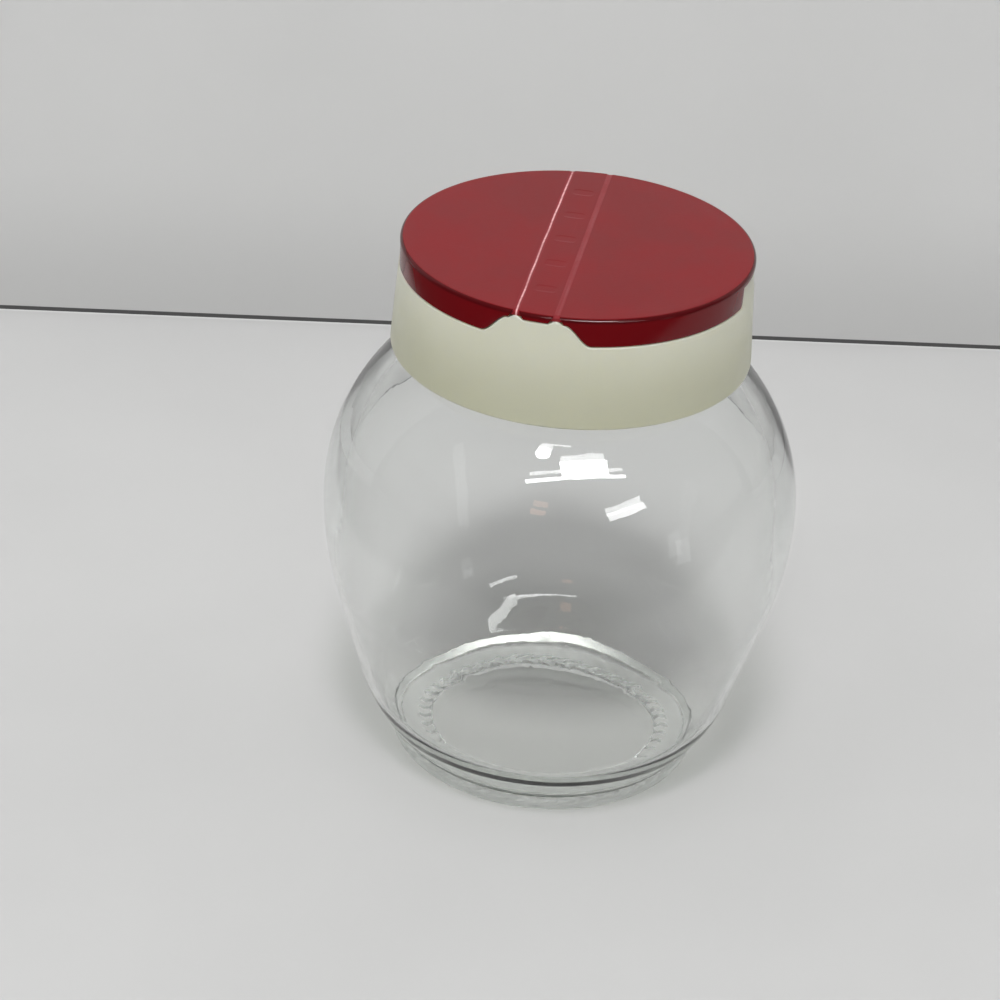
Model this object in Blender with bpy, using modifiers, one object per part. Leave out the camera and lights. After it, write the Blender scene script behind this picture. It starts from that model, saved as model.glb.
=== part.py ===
"""Glass spice jar with a screw-on shaker and spoon cap.

The jar's axis is the world Z axis and the jar stands on z = 0. The two lids are hinged along
lines parallel to Y: the spoon lid opens at +X and the shaker lid at -X. Units are metres.
"""

import math

import bmesh
import bpy
from mathutils import Matrix, Vector

# Glass body, outside. Each arc is tangent to the next one.
BELLY_RADIUS = 0.0487
BELLY_HEIGHT = 0.0570
SHOULDER_ARC_RADIUS = 0.0430
BELLY_ARC_RADIUS = 0.0700
FLANK_ANGLE = math.radians(15.5)
HEEL_HEIGHT = 0.0180
HEEL_ARC_RADIUS = 0.0340
FOOT_HEIGHT = 0.0046
FOOT_STEP = 0.0006
FOOT_FILLET = 0.0012
BEARING_WIDTH = 0.0045
PUSH_UP = 0.0016

# Glass neck and walls.
NECK_RADIUS = 0.0302
NECK_HEIGHT = 0.0154
NECK_FILLET = 0.0025
NECK_WALL = 0.0024
NECK_BEAD = 0.0009
NECK_BEAD_HEIGHT = 0.0022
RIM_FILLET = 0.0008
WALL = 0.0022
BASE_THICKNESS = 0.0026
INNER_HEEL_RADIUS = 0.0140

# Room between pieces.
FIT_GAP = 0.0003
THREAD_ROOM = 0.0017
SHOULDER_CLEARANCE = 0.0024
PLUG_CLEARANCE = 0.0004

# Seal ring.
SEAL_THICKNESS = 0.0008
SEAL_OVERHANG = 0.0010

# Collar.
COLLAR_WALL = 0.0013
COLLAR_FLARE = 0.0011
COLLAR_EDGE_WALL = 0.0022
LEAD_IN_HEIGHT = 0.0034
LEDGE_PROUD = 0.0001
DECK_THICKNESS = 0.0014
DECK_SINK = 0.0009
RIM_STEP = 0.0001
LAND_RING_DEPTH = 0.0030
LAND_RING_WALL = 0.0010

# Lid tops, made as one moulding with two living hinges.
SLAB_THICKNESS = 0.0015
SKIRT_WALL = 0.0014
SKIRT_DEPTH = 0.0056
LID_EDGE_FILLET = 0.0008
STRIP_OFFSET = -0.0026
STRIP_WIDTH = 0.0077
GROOVE_WIDTH = 0.0011
GROOVE_SPLAY = 0.0010
WEB_WIDTH = 0.0005
WEB_THICKNESS = 0.00035
WEB_SINK = 0.0001
TAB_FOOT_WIDTH = 0.0215
TAB_HEAD_WIDTH = 0.0110
HINGE_RIDGE = 0.0006
THUMB_NOTCH_WIDTH = 0.0184
THUMB_NOTCH_FILLET = 0.0010

# Spoon side.
SPOON_CHORD_OFFSET = 0.0030
SPOON_ARC_RADIUS = 0.0245
SPOON_CORNER_RADIUS = 0.0035
SPOON_PLUG_WALL = 0.0010
PLUG_DEPTH = 0.0022

# Shaker side.
HOLE_RADIUS = 0.0023
OUTER_ROW_RADIUS = 0.0210
OUTER_ROW_ANGLES = tuple(math.radians(angle) for angle in (-45, -15, 15, 45))
INNER_ROW_RADIUS = 0.0135
INNER_ROW_ANGLES = tuple(math.radians(angle) for angle in (-32, 0, 32))
PIN_TAPER = 0.0004

# Snap studs under the strip.
STUD_RADIUS = 0.0013
STUD_HEAD = 0.0006
STUD_HEAD_HEIGHT = 0.0008
STUD_SPACING = 0.0180
STUD_COUNT = 3

# Facets.
TURN_STEPS = 64
HOLE_STEPS = 20
ARC_STEPS = 6
BELLY_STEPS = 4
SHOULDER_STEPS = 9
FILLET_STEPS = 3
SHARP_ANGLE = math.radians(32)
OVERCUT = 0.002

# Sizes worked out from those above, from the neck outwards.
SHOULDER_CENTRE = BELLY_RADIUS - SHOULDER_ARC_RADIUS
NECK_ROOT = BELLY_HEIGHT + math.sqrt(
    (SHOULDER_ARC_RADIUS + NECK_FILLET) ** 2 - (NECK_RADIUS + NECK_FILLET - SHOULDER_CENTRE) ** 2
)
RIM_TOP = NECK_ROOT + NECK_HEIGHT
BORE_RADIUS = NECK_RADIUS - NECK_WALL
COLLAR_BORE = NECK_RADIUS + THREAD_ROOM
REBATE_RADIUS = COLLAR_BORE + COLLAR_WALL
LID_RADIUS = REBATE_RADIUS + FIT_GAP + SKIRT_WALL
LEDGE_RADIUS = LID_RADIUS + LEDGE_PROUD
COLLAR_FOOT_RADIUS = LEDGE_RADIUS + COLLAR_FLARE

# Heights worked out, from the glass rim upwards.
SEAL_BOTTOM = RIM_TOP + FIT_GAP
DECK_BOTTOM = SEAL_BOTTOM + SEAL_THICKNESS + FIT_GAP
DECK_TOP = DECK_BOTTOM + DECK_THICKNESS
DECK_RIM_TOP = DECK_TOP + DECK_SINK
RIB_TOP = DECK_RIM_TOP - RIM_STEP
TAB_TOP = RIB_TOP - RIM_STEP
SLAB_BOTTOM = DECK_RIM_TOP + FIT_GAP
SLAB_TOP = SLAB_BOTTOM + SLAB_THICKNESS
SKIRT_BOTTOM = SLAB_TOP - SKIRT_DEPTH
LEDGE_HEIGHT = SKIRT_BOTTOM - FIT_GAP
WEB_TOP = SLAB_TOP - WEB_SINK
HINGE_HEIGHT = WEB_TOP - WEB_THICKNESS / 2

# Hinge lines.
SPOON_HINGE_X = STRIP_OFFSET + STRIP_WIDTH / 2
SHAKER_HINGE_X = STRIP_OFFSET - STRIP_WIDTH / 2
GROOVE_TOP_HALF = GROOVE_WIDTH / 2
GROOVE_BOTTOM_HALF = GROOVE_TOP_HALF + GROOVE_SPLAY


def shoulder_height(radius):
    """Height of the glass shoulder's outer face at a radius."""
    return BELLY_HEIGHT + math.sqrt(SHOULDER_ARC_RADIUS**2 - (radius - SHOULDER_CENTRE) ** 2)


def arc(centre, radius, start, end, steps):
    """Points of an arc in the profile plane, from one angle to another, both ends included."""
    angles = [start + (end - start) * step / steps for step in range(steps + 1)]
    return [(centre[0] + radius * math.cos(a), centre[1] + radius * math.sin(a)) for a in angles]


def new_collection(name):
    collection = bpy.data.collections.new(name)
    bpy.context.scene.collection.children.link(collection)
    return collection


def clear_scene():
    for obj in list(bpy.data.objects):
        bpy.data.objects.remove(obj, do_unlink=True)
    for collection in list(bpy.data.collections):
        bpy.data.collections.remove(collection)


def principled(name, colour, roughness, transmission=0.0):
    """A plain material with the piece's colour, roughness and clearness."""
    material = bpy.data.materials.new(name)
    material.use_nodes = True
    shader = material.node_tree.nodes["Principled BSDF"]
    shader.inputs["Base Color"].default_value = (*colour, 1.0)
    shader.inputs["Roughness"].default_value = roughness
    shader.inputs["Metallic"].default_value = 0.0
    shader.inputs["Transmission Weight"].default_value = transmission
    return material


def new_object(name, mesh, collection):
    obj = bpy.data.objects.new(name, mesh)
    collection.objects.link(obj)
    return obj


def turned(name, profile, collection, ring=False):
    """Turn a profile of (radius, height) points round Z. The profile runs down its outer side."""
    mesh = bpy.data.meshes.new(name)
    edges = [(i, i + 1) for i in range(len(profile) - 1)]
    if ring:
        edges.append((len(profile) - 1, 0))
    mesh.from_pydata([(radius, 0.0, height) for radius, height in profile], edges, [])
    obj = new_object(name, mesh, collection)
    screw = obj.modifiers.new("turn", "SCREW")
    screw.angle = math.tau
    screw.steps = TURN_STEPS
    screw.render_steps = TURN_STEPS
    screw.use_merge_vertices = True
    screw.merge_threshold = 0.00001
    return obj


def as_helper(obj):
    obj.hide_render = True
    obj.display_type = "WIRE"
    return obj


def applied(obj):
    """Keep the modified shape as the object's mesh, smooth except across real edges."""
    graph = bpy.context.evaluated_depsgraph_get()
    mesh = bpy.data.meshes.new_from_object(obj.evaluated_get(graph))
    obj.modifiers.clear()
    obj.data = mesh
    mesh.shade_smooth()
    mesh.set_sharp_from_angle(angle=SHARP_ANGLE)
    return obj


def combine(obj, other, operation):
    boolean = obj.modifiers.new(f"{operation.lower()} {other.name}", "BOOLEAN")
    boolean.object = other
    boolean.operation = operation
    boolean.solver = "EXACT"
    return obj


def prism(name, outline, low, high, collection, along="Z"):
    """A flat outline, extruded from low to high along Z, or along X or Y.

    Along Y the outline is read as (x, z), and along X as (y, z).
    """
    curve = bpy.data.curves.new(name, "CURVE")
    curve.dimensions = "2D"
    curve.fill_mode = "BOTH"
    curve.extrude = (high - low) / 2
    spline = curve.splines.new("POLY")
    spline.points.add(len(outline) - 1)
    for point, (first, second) in zip(spline.points, outline, strict=True):
        point.co = (first, second, 0.0, 1.0)
    spline.use_cyclic_u = True
    guide = new_object(f"{name} outline", curve, collection)
    turns = {
        "Z": Matrix.Identity(4),
        "Y": Matrix.Rotation(math.pi / 2, 4, "X"),
        "X": Matrix.Rotation(math.pi / 2, 4, "Z") @ Matrix.Rotation(math.pi / 2, 4, "X"),
    }
    middle = (low + high) / 2
    shift = {"Z": (0, 0, middle), "Y": (0, middle, 0), "X": (middle, 0, 0)}
    guide.matrix_world = Matrix.Translation(shift[along]) @ turns[along]
    bpy.context.view_layer.update()
    mesh = bpy.data.meshes.new_from_object(
        guide.evaluated_get(bpy.context.evaluated_depsgraph_get())
    )
    mesh.transform(guide.matrix_world)
    bpy.data.objects.remove(guide)
    shell = bmesh.new()
    shell.from_mesh(mesh)
    bmesh.ops.remove_doubles(shell, verts=shell.verts, dist=0.000001)
    bmesh.ops.recalc_face_normals(shell, faces=shell.faces)
    shell.to_mesh(mesh)
    shell.free()
    return as_helper(new_object(name, mesh, collection))


def cones(name, places, low_radius, high_radius, low, high, collection):
    """Upright cylinders or cones at (x, y) places, as one helper."""
    mesh = bpy.data.meshes.new(name)
    shell = bmesh.new()
    for x, y in places:
        bmesh.ops.create_cone(
            shell,
            cap_ends=True,
            segments=HOLE_STEPS,
            radius1=low_radius,
            radius2=high_radius,
            depth=high - low,
            matrix=Matrix.Translation((x, y, (low + high) / 2)),
        )
    shell.to_mesh(mesh)
    shell.free()
    return as_helper(new_object(name, mesh, collection))


def outer_glass():
    """Outside of the glass from the top of the neck down to the axis under the base."""
    fillet = (NECK_RADIUS + NECK_FILLET, NECK_ROOT)
    shoulder = (SHOULDER_CENTRE, BELLY_HEIGHT)
    belly = (BELLY_RADIUS - BELLY_ARC_RADIUS, BELLY_HEIGHT)
    meet = math.atan2(fillet[1] - shoulder[1], fillet[0] - shoulder[0])
    bead = NECK_ROOT + NECK_BEAD_HEIGHT
    points = [(NECK_RADIUS, bead + NECK_BEAD)]
    points += [(NECK_RADIUS + NECK_BEAD, bead), (NECK_RADIUS + NECK_BEAD, bead - NECK_BEAD)]
    points += arc(fillet, NECK_FILLET, math.pi, math.pi + meet, FILLET_STEPS)
    points += arc(shoulder, SHOULDER_ARC_RADIUS, meet, 0.0, SHOULDER_STEPS)[1:]
    points += arc(belly, BELLY_ARC_RADIUS, 0.0, -FLANK_ANGLE, BELLY_STEPS)[1:]
    points += outer_heel()
    foot = points[-1][0] - FOOT_STEP
    bearing = foot - FOOT_FILLET
    points += [(foot, FOOT_HEIGHT - FOOT_STEP / 2)]
    points += arc((bearing, FOOT_FILLET), FOOT_FILLET, 0.0, -math.pi / 2, FILLET_STEPS)
    inner = bearing - BEARING_WIDTH
    points += [(inner, 0.0), (inner - PUSH_UP, PUSH_UP / 2), (0.0, PUSH_UP)]
    return points


def outer_heel():
    """Outside of the heel: an arc tangent to the straight flank, down to the foot's step."""
    start = (heel_radius(), HEEL_HEIGHT)
    centre = (
        start[0] - HEEL_ARC_RADIUS * math.cos(FLANK_ANGLE),
        start[1] + HEEL_ARC_RADIUS * math.sin(FLANK_ANGLE),
    )
    end = -math.asin((centre[1] - FOOT_HEIGHT) / HEEL_ARC_RADIUS)
    return arc(centre, HEEL_ARC_RADIUS, -FLANK_ANGLE, end, ARC_STEPS)


def heel_radius():
    """Outer radius where the straight flank ends, at the top of the heel."""
    drop = BELLY_HEIGHT - BELLY_ARC_RADIUS * math.sin(FLANK_ANGLE) - HEEL_HEIGHT
    start = BELLY_RADIUS - BELLY_ARC_RADIUS * (1 - math.cos(FLANK_ANGLE))
    return start - drop * math.tan(FLANK_ANGLE)


def inner_glass():
    """Inside of the glass from the axis above the base up to the bore under the rim."""
    floor = PUSH_UP + BASE_THICKNESS
    flank_in = heel_radius() - WALL / math.cos(FLANK_ANGLE)
    level = floor + INNER_HEEL_RADIUS
    heel = flank_in + (level - HEEL_HEIGHT) * math.tan(FLANK_ANGLE)
    heel -= INNER_HEEL_RADIUS / math.cos(FLANK_ANGLE)
    belly = (BELLY_RADIUS - BELLY_ARC_RADIUS, BELLY_HEIGHT)
    shoulder = (SHOULDER_CENTRE, BELLY_HEIGHT)
    arc_in = SHOULDER_ARC_RADIUS - WALL
    turn = NECK_FILLET + NECK_WALL
    rise = math.sqrt((arc_in + turn) ** 2 - (BORE_RADIUS + turn - SHOULDER_CENTRE) ** 2)
    fillet = (BORE_RADIUS + turn, BELLY_HEIGHT + rise)
    meet = math.atan2(rise, fillet[0] - SHOULDER_CENTRE)
    points = [(0.0, floor)]
    points += arc((heel, level), INNER_HEEL_RADIUS, -math.pi / 2, -FLANK_ANGLE, ARC_STEPS)
    points += arc(belly, BELLY_ARC_RADIUS - WALL, -FLANK_ANGLE, 0.0, BELLY_STEPS)
    points += arc(shoulder, arc_in, 0.0, meet, SHOULDER_STEPS)[1:]
    points += arc(fillet, turn, math.pi + meet, math.pi, FILLET_STEPS)[1:]
    return points


def make_glass_jar(parts):
    """Blown glass: one profile, up the inside, over the rim and down the outside."""
    rim_in = (BORE_RADIUS + RIM_FILLET, RIM_TOP - RIM_FILLET)
    rim_out = (NECK_RADIUS - RIM_FILLET, RIM_TOP - RIM_FILLET)
    rim = arc(rim_in, RIM_FILLET, math.pi, math.pi / 2, FILLET_STEPS)
    rim += arc(rim_out, RIM_FILLET, math.pi / 2, 0.0, FILLET_STEPS)
    return applied(turned("glass_jar", inner_glass() + rim + outer_glass(), parts))


def make_seal_ring(parts):
    """Flat ring that the cap presses on the glass rim, held between land ring and bore."""
    inner = BORE_RADIUS
    outer = NECK_RADIUS + SEAL_OVERHANG
    top = SEAL_BOTTOM + SEAL_THICKNESS
    section = [(inner, SEAL_BOTTOM), (inner, top), (outer, top), (outer, SEAL_BOTTOM)]
    return applied(turned("seal_ring", section, parts, ring=True))


def collar_profile():
    """Collar: deck, rebate for the lid skirts, ledge, flared skirt, bore and land ring."""
    land = BORE_RADIUS - PLUG_CLEARANCE
    foot = shoulder_height(COLLAR_FOOT_RADIUS - COLLAR_EDGE_WALL) + SHOULDER_CLEARANCE
    edge = FIT_GAP
    return [
        (0.0, DECK_TOP),
        (COLLAR_BORE, DECK_TOP),
        (COLLAR_BORE, DECK_RIM_TOP),
        (REBATE_RADIUS - edge, DECK_RIM_TOP),
        (REBATE_RADIUS, DECK_RIM_TOP - edge),
        (REBATE_RADIUS, LEDGE_HEIGHT),
        (LEDGE_RADIUS - edge, LEDGE_HEIGHT),
        (LEDGE_RADIUS, LEDGE_HEIGHT - edge),
        (COLLAR_FOOT_RADIUS, foot + edge),
        (COLLAR_FOOT_RADIUS - edge, foot),
        (COLLAR_FOOT_RADIUS - COLLAR_EDGE_WALL, foot),
        (COLLAR_BORE, foot + LEAD_IN_HEIGHT),
        (COLLAR_BORE, DECK_BOTTOM),
        (land, DECK_BOTTOM),
        (land, DECK_BOTTOM - LAND_RING_DEPTH + LAND_RING_WALL / 2),
        (land - LAND_RING_WALL / 2, DECK_BOTTOM - LAND_RING_DEPTH),
        (land - LAND_RING_WALL, DECK_BOTTOM - LAND_RING_DEPTH),
        (land - LAND_RING_WALL, DECK_BOTTOM),
        (0.0, DECK_BOTTOM),
    ]


def notch_side(share, inset):
    """A point on the skirt notch's right side, from its foot (share 0) to its head (share 1).

    The side is an S that is level at both ends, drawn in by an inset.
    """
    half_width = (TAB_FOOT_WIDTH + (TAB_HEAD_WIDTH - TAB_FOOT_WIDTH) * share) / 2
    rise = share * share * (3 - 2 * share)
    return (half_width - inset, SKIRT_BOTTOM + (SLAB_BOTTOM - SKIRT_BOTTOM) * rise)


def notch_sides(inset):
    """The notch's right side from foot to head, drawn in by an inset."""
    return [notch_side(step / ARC_STEPS, inset) for step in range(ARC_STEPS + 1)]


def notch_outline():
    """The notch cut in the lid skirts at each end of the strip, as (x, z)."""
    right = [(TAB_FOOT_WIDTH / 2, SKIRT_BOTTOM - OVERCUT)] + notch_sides(0.0)
    left = [(-x, z) for x, z in reversed(right)]
    return [(STRIP_OFFSET + x, z) for x, z in right + left]


def hinge_bump(hinge_x):
    """The small rounded ridge on a tab, in the open end of a hinge groove, right to left."""
    half = GROOVE_BOTTOM_HALF - FIT_GAP
    outline = arc((0.0, 0.0), 1.0, 0.0, math.pi, ARC_STEPS)
    return [(hinge_x + half * x, TAB_TOP + HINGE_RIDGE * z) for x, z in outline]


def tab_outline():
    """The collar's tab, which fills the notch with a gap and has a ridge at each hinge line."""
    lift = TAB_TOP - SLAB_BOTTOM
    sides = [(x, z + lift) for x, z in notch_sides(FIT_GAP)]
    right = [(sides[0][0], LEDGE_HEIGHT - OVERCUT)] + sides
    left = [(STRIP_OFFSET - x, z) for x, z in reversed(right)]
    ridges = hinge_bump(SPOON_HINGE_X) + hinge_bump(SHAKER_HINGE_X)
    return [(STRIP_OFFSET + x, z) for x, z in right] + ridges + left


def spoon_outline(inset):
    """D-shaped outline of the spoon opening, drawn in by an inset, as (x, y)."""
    chord = SPOON_HINGE_X + SPOON_CHORD_OFFSET + inset
    radius = SPOON_ARC_RADIUS - inset
    corner = max(SPOON_CORNER_RADIUS - inset, SPOON_CORNER_RADIUS / 4)
    x = chord + corner
    y = math.sqrt((radius - corner) ** 2 - x**2)
    turn = math.atan2(y, x)
    lower = arc((x, -y), corner, -math.pi, -turn, FILLET_STEPS + 1)
    sweep = arc((0.0, 0.0), radius, -turn, turn, 2 * ARC_STEPS)[1:-1]
    upper = arc((x, y), corner, turn, math.pi, FILLET_STEPS + 1)
    return lower + sweep + upper


def shaker_places():
    """Centres of the shaker holes, in two rows on arcs round the jar's axis."""
    rows = [(OUTER_ROW_RADIUS, a) for a in OUTER_ROW_ANGLES]
    rows += [(INNER_ROW_RADIUS, a) for a in INNER_ROW_ANGLES]
    return [(-radius * math.cos(angle), radius * math.sin(angle)) for radius, angle in rows]


def stud_places():
    first = -STUD_SPACING * (STUD_COUNT - 1) / 2
    return [(STRIP_OFFSET, first + STUD_SPACING * index) for index in range(STUD_COUNT)]


def make_collar(parts, helpers):
    """Screw collar with its sifter deck, middle rib and the tabs at the ends of the strip."""
    collar = turned("collar", collar_profile(), parts)
    reach = LID_RADIUS + OVERCUT
    wall_middle = COLLAR_BORE + COLLAR_WALL / 2
    top, low = SLAB_TOP, LEDGE_HEIGHT - FIT_GAP
    section = [(wall_middle, top), (LID_RADIUS, top), (LID_RADIUS, low), (wall_middle, low)]
    tabs = as_helper(turned("tabs", section, helpers, ring=True))
    tabs.rotation_euler.z = math.pi / TURN_STEPS  # its facet corners stay off the collar's
    combine(tabs, prism("tab outline", tab_outline(), -reach, reach, helpers, "Y"), "INTERSECT")
    rib_half = STRIP_WIDTH / 2 - GROOVE_BOTTOM_HALF
    rib = prism(
        "deck rib",
        [
            (STRIP_OFFSET - rib_half, DECK_BOTTOM + DECK_THICKNESS / 2),
            (STRIP_OFFSET + rib_half, DECK_BOTTOM + DECK_THICKNESS / 2),
            (STRIP_OFFSET + rib_half, RIB_TOP),
            (STRIP_OFFSET - rib_half, RIB_TOP),
        ],
        -wall_middle,
        wall_middle,
        helpers,
        "Y",
    )
    combine(collar, tabs, "UNION")
    combine(collar, rib, "UNION")
    low, high = DECK_BOTTOM - OVERCUT, DECK_RIM_TOP + OVERCUT
    spoon = prism("spoon opening", spoon_outline(0.0), low, high, helpers)
    holes = cones("shaker holes", shaker_places(), HOLE_RADIUS, HOLE_RADIUS, low, high, helpers)
    bore = STUD_RADIUS + FIT_GAP
    studs = cones("stud holes", stud_places(), bore, bore, low, high, helpers)
    for cutter in (spoon, holes, studs):
        combine(collar, cutter, "DIFFERENCE")
    return applied(collar)


def lid_profile():
    """Section of the whole lid moulding: slab, rounded edge and skirt."""
    skirt_in = LID_RADIUS - SKIRT_WALL
    edge = (LID_RADIUS - LID_EDGE_FILLET, SLAB_TOP - LID_EDGE_FILLET)
    points = [(0.0, SLAB_TOP)]
    points += arc(edge, LID_EDGE_FILLET, math.pi / 2, 0.0, FILLET_STEPS + 1)
    points += [(LID_RADIUS, SKIRT_BOTTOM), (skirt_in, SKIRT_BOTTOM)]
    points += [(skirt_in, SLAB_BOTTOM), (0.0, SLAB_BOTTOM)]
    return points


def groove_side(hinge_x, towards):
    """Outline, as (x, z), of the space on one side of a hinge groove."""
    reach = towards * (2 * LID_RADIUS)
    splay_low = GROOVE_BOTTOM_HALF
    return [
        (hinge_x + towards * GROOVE_TOP_HALF, SLAB_TOP + OVERCUT),
        (hinge_x + towards * GROOVE_TOP_HALF, SLAB_TOP),
        (hinge_x + towards * splay_low, SLAB_BOTTOM),
        (hinge_x + towards * splay_low, SKIRT_BOTTOM - OVERCUT),
        (hinge_x + reach, SKIRT_BOTTOM - OVERCUT),
        (hinge_x + reach, SLAB_TOP + OVERCUT),
    ]


def thumb_notch(towards, helpers):
    """Cutter for the finger notch in a flap's skirt, with rounded lower corners."""
    half = THUMB_NOTCH_WIDTH / 2
    turn = THUMB_NOTCH_FILLET
    corner = (half + turn, SKIRT_BOTTOM + turn)
    right = [(half + turn, SKIRT_BOTTOM - OVERCUT)]
    right += arc(corner, turn, 3 * math.pi / 2, math.pi, FILLET_STEPS)
    right += [(half, SLAB_BOTTOM)]
    left = [(-y, z) for y, z in reversed(right)]
    ends = sorted((towards * BELLY_RADIUS, towards * REBATE_RADIUS * math.cos(math.pi / 4)))
    return prism(f"thumb notch {towards}", right + left, ends[0], ends[1], helpers, "X")


def make_flap(name, hinge_x, towards, plugs, parts, helpers):
    """One lid flap: its side of the moulding, notched at the tabs and for the thumb."""
    flap = turned(name, lid_profile(), parts)
    reach = LID_RADIUS + OVERCUT
    side = groove_side(hinge_x, towards)
    combine(flap, prism(f"{name} side", side, -reach, reach, helpers, "Y"), "INTERSECT")
    notch = prism(f"{name} tab notch", notch_outline(), -reach, reach, helpers, "Y")
    combine(flap, notch, "DIFFERENCE")
    combine(flap, thumb_notch(towards, helpers), "DIFFERENCE")
    for plug in plugs:
        combine(flap, plug, "UNION")
    return with_origin(applied(flap), (hinge_x, 0.0, HINGE_HEIGHT))


def spoon_plug(helpers):
    """D-shaped wall under the spoon flap that closes the spoon opening."""
    low, high = SLAB_BOTTOM - PLUG_DEPTH, SLAB_BOTTOM + SLAB_THICKNESS / 2
    outline = spoon_outline(PLUG_CLEARANCE)
    wall = prism("spoon plug", outline, low, high, helpers)
    hollow = spoon_outline(PLUG_CLEARANCE + SPOON_PLUG_WALL)
    combine(
        wall, prism("spoon plug hollow", hollow, low - OVERCUT, SLAB_BOTTOM, helpers), "DIFFERENCE"
    )
    return wall


def shaker_pins(helpers):
    """Tapered pins under the shaker flap, one for each hole."""
    root = HOLE_RADIUS - PLUG_CLEARANCE
    low, high = SLAB_BOTTOM - PLUG_DEPTH, SLAB_BOTTOM + SLAB_THICKNESS / 2
    return cones("shaker pins", shaker_places(), root - PIN_TAPER, root, low, high, helpers)


def make_strip(parts, helpers):
    """Fixed middle strip of the lid moulding, with the snap studs that hold it down."""
    strip = turned("centre_strip", lid_profile(), parts)
    reach = LID_RADIUS + OVERCUT
    top = [(GROOVE_TOP_HALF, SLAB_TOP + OVERCUT), (GROOVE_TOP_HALF, SLAB_TOP)]
    low = [(GROOVE_BOTTOM_HALF, SLAB_BOTTOM), (GROOVE_BOTTOM_HALF, SKIRT_BOTTOM - OVERCUT)]
    left = [(SHAKER_HINGE_X + x, z) for x, z in top + low]
    right = [(SPOON_HINGE_X - x, z) for x, z in reversed(top + low)]
    band = prism("strip band", left + right, -reach, reach, helpers, "Y")
    combine(strip, band, "INTERSECT")
    notch = prism("strip tab notch", notch_outline(), -reach, reach, helpers, "Y")
    combine(strip, notch, "DIFFERENCE")
    head_top = DECK_BOTTOM - FIT_GAP
    head_low = head_top - STUD_HEAD_HEIGHT
    places = stud_places()
    middle = SLAB_BOTTOM + SLAB_THICKNESS / 2
    shanks = cones("studs", places, STUD_RADIUS, STUD_RADIUS, head_low, middle, helpers)
    wide = STUD_RADIUS + STUD_HEAD
    heads = cones("stud heads", places, STUD_RADIUS, wide, head_low, head_top, helpers)
    combine(strip, shanks, "UNION")
    combine(strip, heads, "UNION")
    return applied(strip)


def make_web(name, hinge_x, parts):
    """Thin living hinge along a hinge line, between the strip and a flap."""
    half_length = math.sqrt(LID_RADIUS**2 - hinge_x**2) - LID_EDGE_FILLET
    size = Vector((WEB_WIDTH, 2 * half_length, WEB_THICKNESS))
    mesh = bpy.data.meshes.new(name)
    shell = bmesh.new()
    bmesh.ops.create_cube(shell, size=1.0, matrix=Matrix.Diagonal((*size, 1.0)))
    shell.to_mesh(mesh)
    shell.free()
    web = new_object(name, mesh, parts)
    web.location = (hinge_x, 0.0, HINGE_HEIGHT)
    return web


def with_origin(obj, point):
    """Move an object's origin to a point without moving its shape."""
    obj.data.transform(Matrix.Translation(-Vector(point)))
    obj.location = point
    return obj


def main():
    clear_scene()
    parts = new_collection("spice_jar")
    helpers = new_collection("cutters")
    glass = make_glass_jar(parts)
    seal = make_seal_ring(parts)
    collar = make_collar(parts, helpers)
    strip = make_strip(parts, helpers)
    spoon_flap = make_flap(
        "spoon_flap", SPOON_HINGE_X, 1, [spoon_plug(helpers)], parts, helpers
    )
    shaker_flap = make_flap(
        "shaker_flap", SHAKER_HINGE_X, -1, [shaker_pins(helpers)], parts, helpers
    )
    spoon_web = make_web("spoon_hinge_web", SPOON_HINGE_X, parts)
    shaker_web = make_web("shaker_hinge_web", SHAKER_HINGE_X, parts)

    red = (0.22, 0.012, 0.018)
    finishes = {
        glass: principled("clear glass", (0.95, 0.97, 0.96), 0.03, transmission=1.0),
        seal: principled("white foam", (0.80, 0.80, 0.78), 0.75),
        collar: principled("cream plastic", (0.60, 0.60, 0.46), 0.42),
        strip: principled("red plastic strip", red, 0.28),
        spoon_flap: principled("red plastic spoon flap", red, 0.28),
        shaker_flap: principled("red plastic shaker flap", red, 0.28),
        spoon_web: principled("red plastic spoon web", red, 0.34),
        shaker_web: principled("red plastic shaker web", red, 0.34),
    }
    for obj, material in finishes.items():
        obj.data.materials.clear()
        obj.data.materials.append(material)

    seal.parent = glass
    collar.parent = seal
    for piece in (strip, spoon_flap, shaker_flap, spoon_web, shaker_web):
        piece.parent = collar


if __name__ == "__main__":
    main()
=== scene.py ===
"""Looks of a glass spice jar with a cream screw collar and a red two-flap top.

Every length is in metres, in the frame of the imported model: the jar stands on z = 0, its axis
is +Z, and the hinge lines run along Y.
"""

import logging
import math
from dataclasses import dataclass, field
from enum import Enum
from functools import partial

import bmesh
import bpy
import numpy as np
from mathutils import Matrix, Vector
from mathutils.geometry import tessellate_polygon


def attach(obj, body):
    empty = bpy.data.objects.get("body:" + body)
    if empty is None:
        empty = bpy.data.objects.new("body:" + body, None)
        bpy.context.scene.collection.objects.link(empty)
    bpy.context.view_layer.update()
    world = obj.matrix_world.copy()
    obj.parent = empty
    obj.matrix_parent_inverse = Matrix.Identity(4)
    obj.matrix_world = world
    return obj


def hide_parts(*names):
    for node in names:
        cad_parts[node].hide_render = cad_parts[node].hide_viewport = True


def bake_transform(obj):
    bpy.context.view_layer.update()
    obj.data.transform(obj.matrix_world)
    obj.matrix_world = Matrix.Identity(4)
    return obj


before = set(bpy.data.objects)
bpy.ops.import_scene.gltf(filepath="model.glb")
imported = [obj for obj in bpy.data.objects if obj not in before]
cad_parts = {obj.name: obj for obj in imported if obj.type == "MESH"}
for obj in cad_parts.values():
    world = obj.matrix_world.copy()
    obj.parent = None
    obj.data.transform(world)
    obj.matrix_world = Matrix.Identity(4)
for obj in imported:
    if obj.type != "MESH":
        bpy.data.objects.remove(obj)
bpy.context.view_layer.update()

LOG = logging.getLogger("spice_jar")
MM = 0.001
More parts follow.
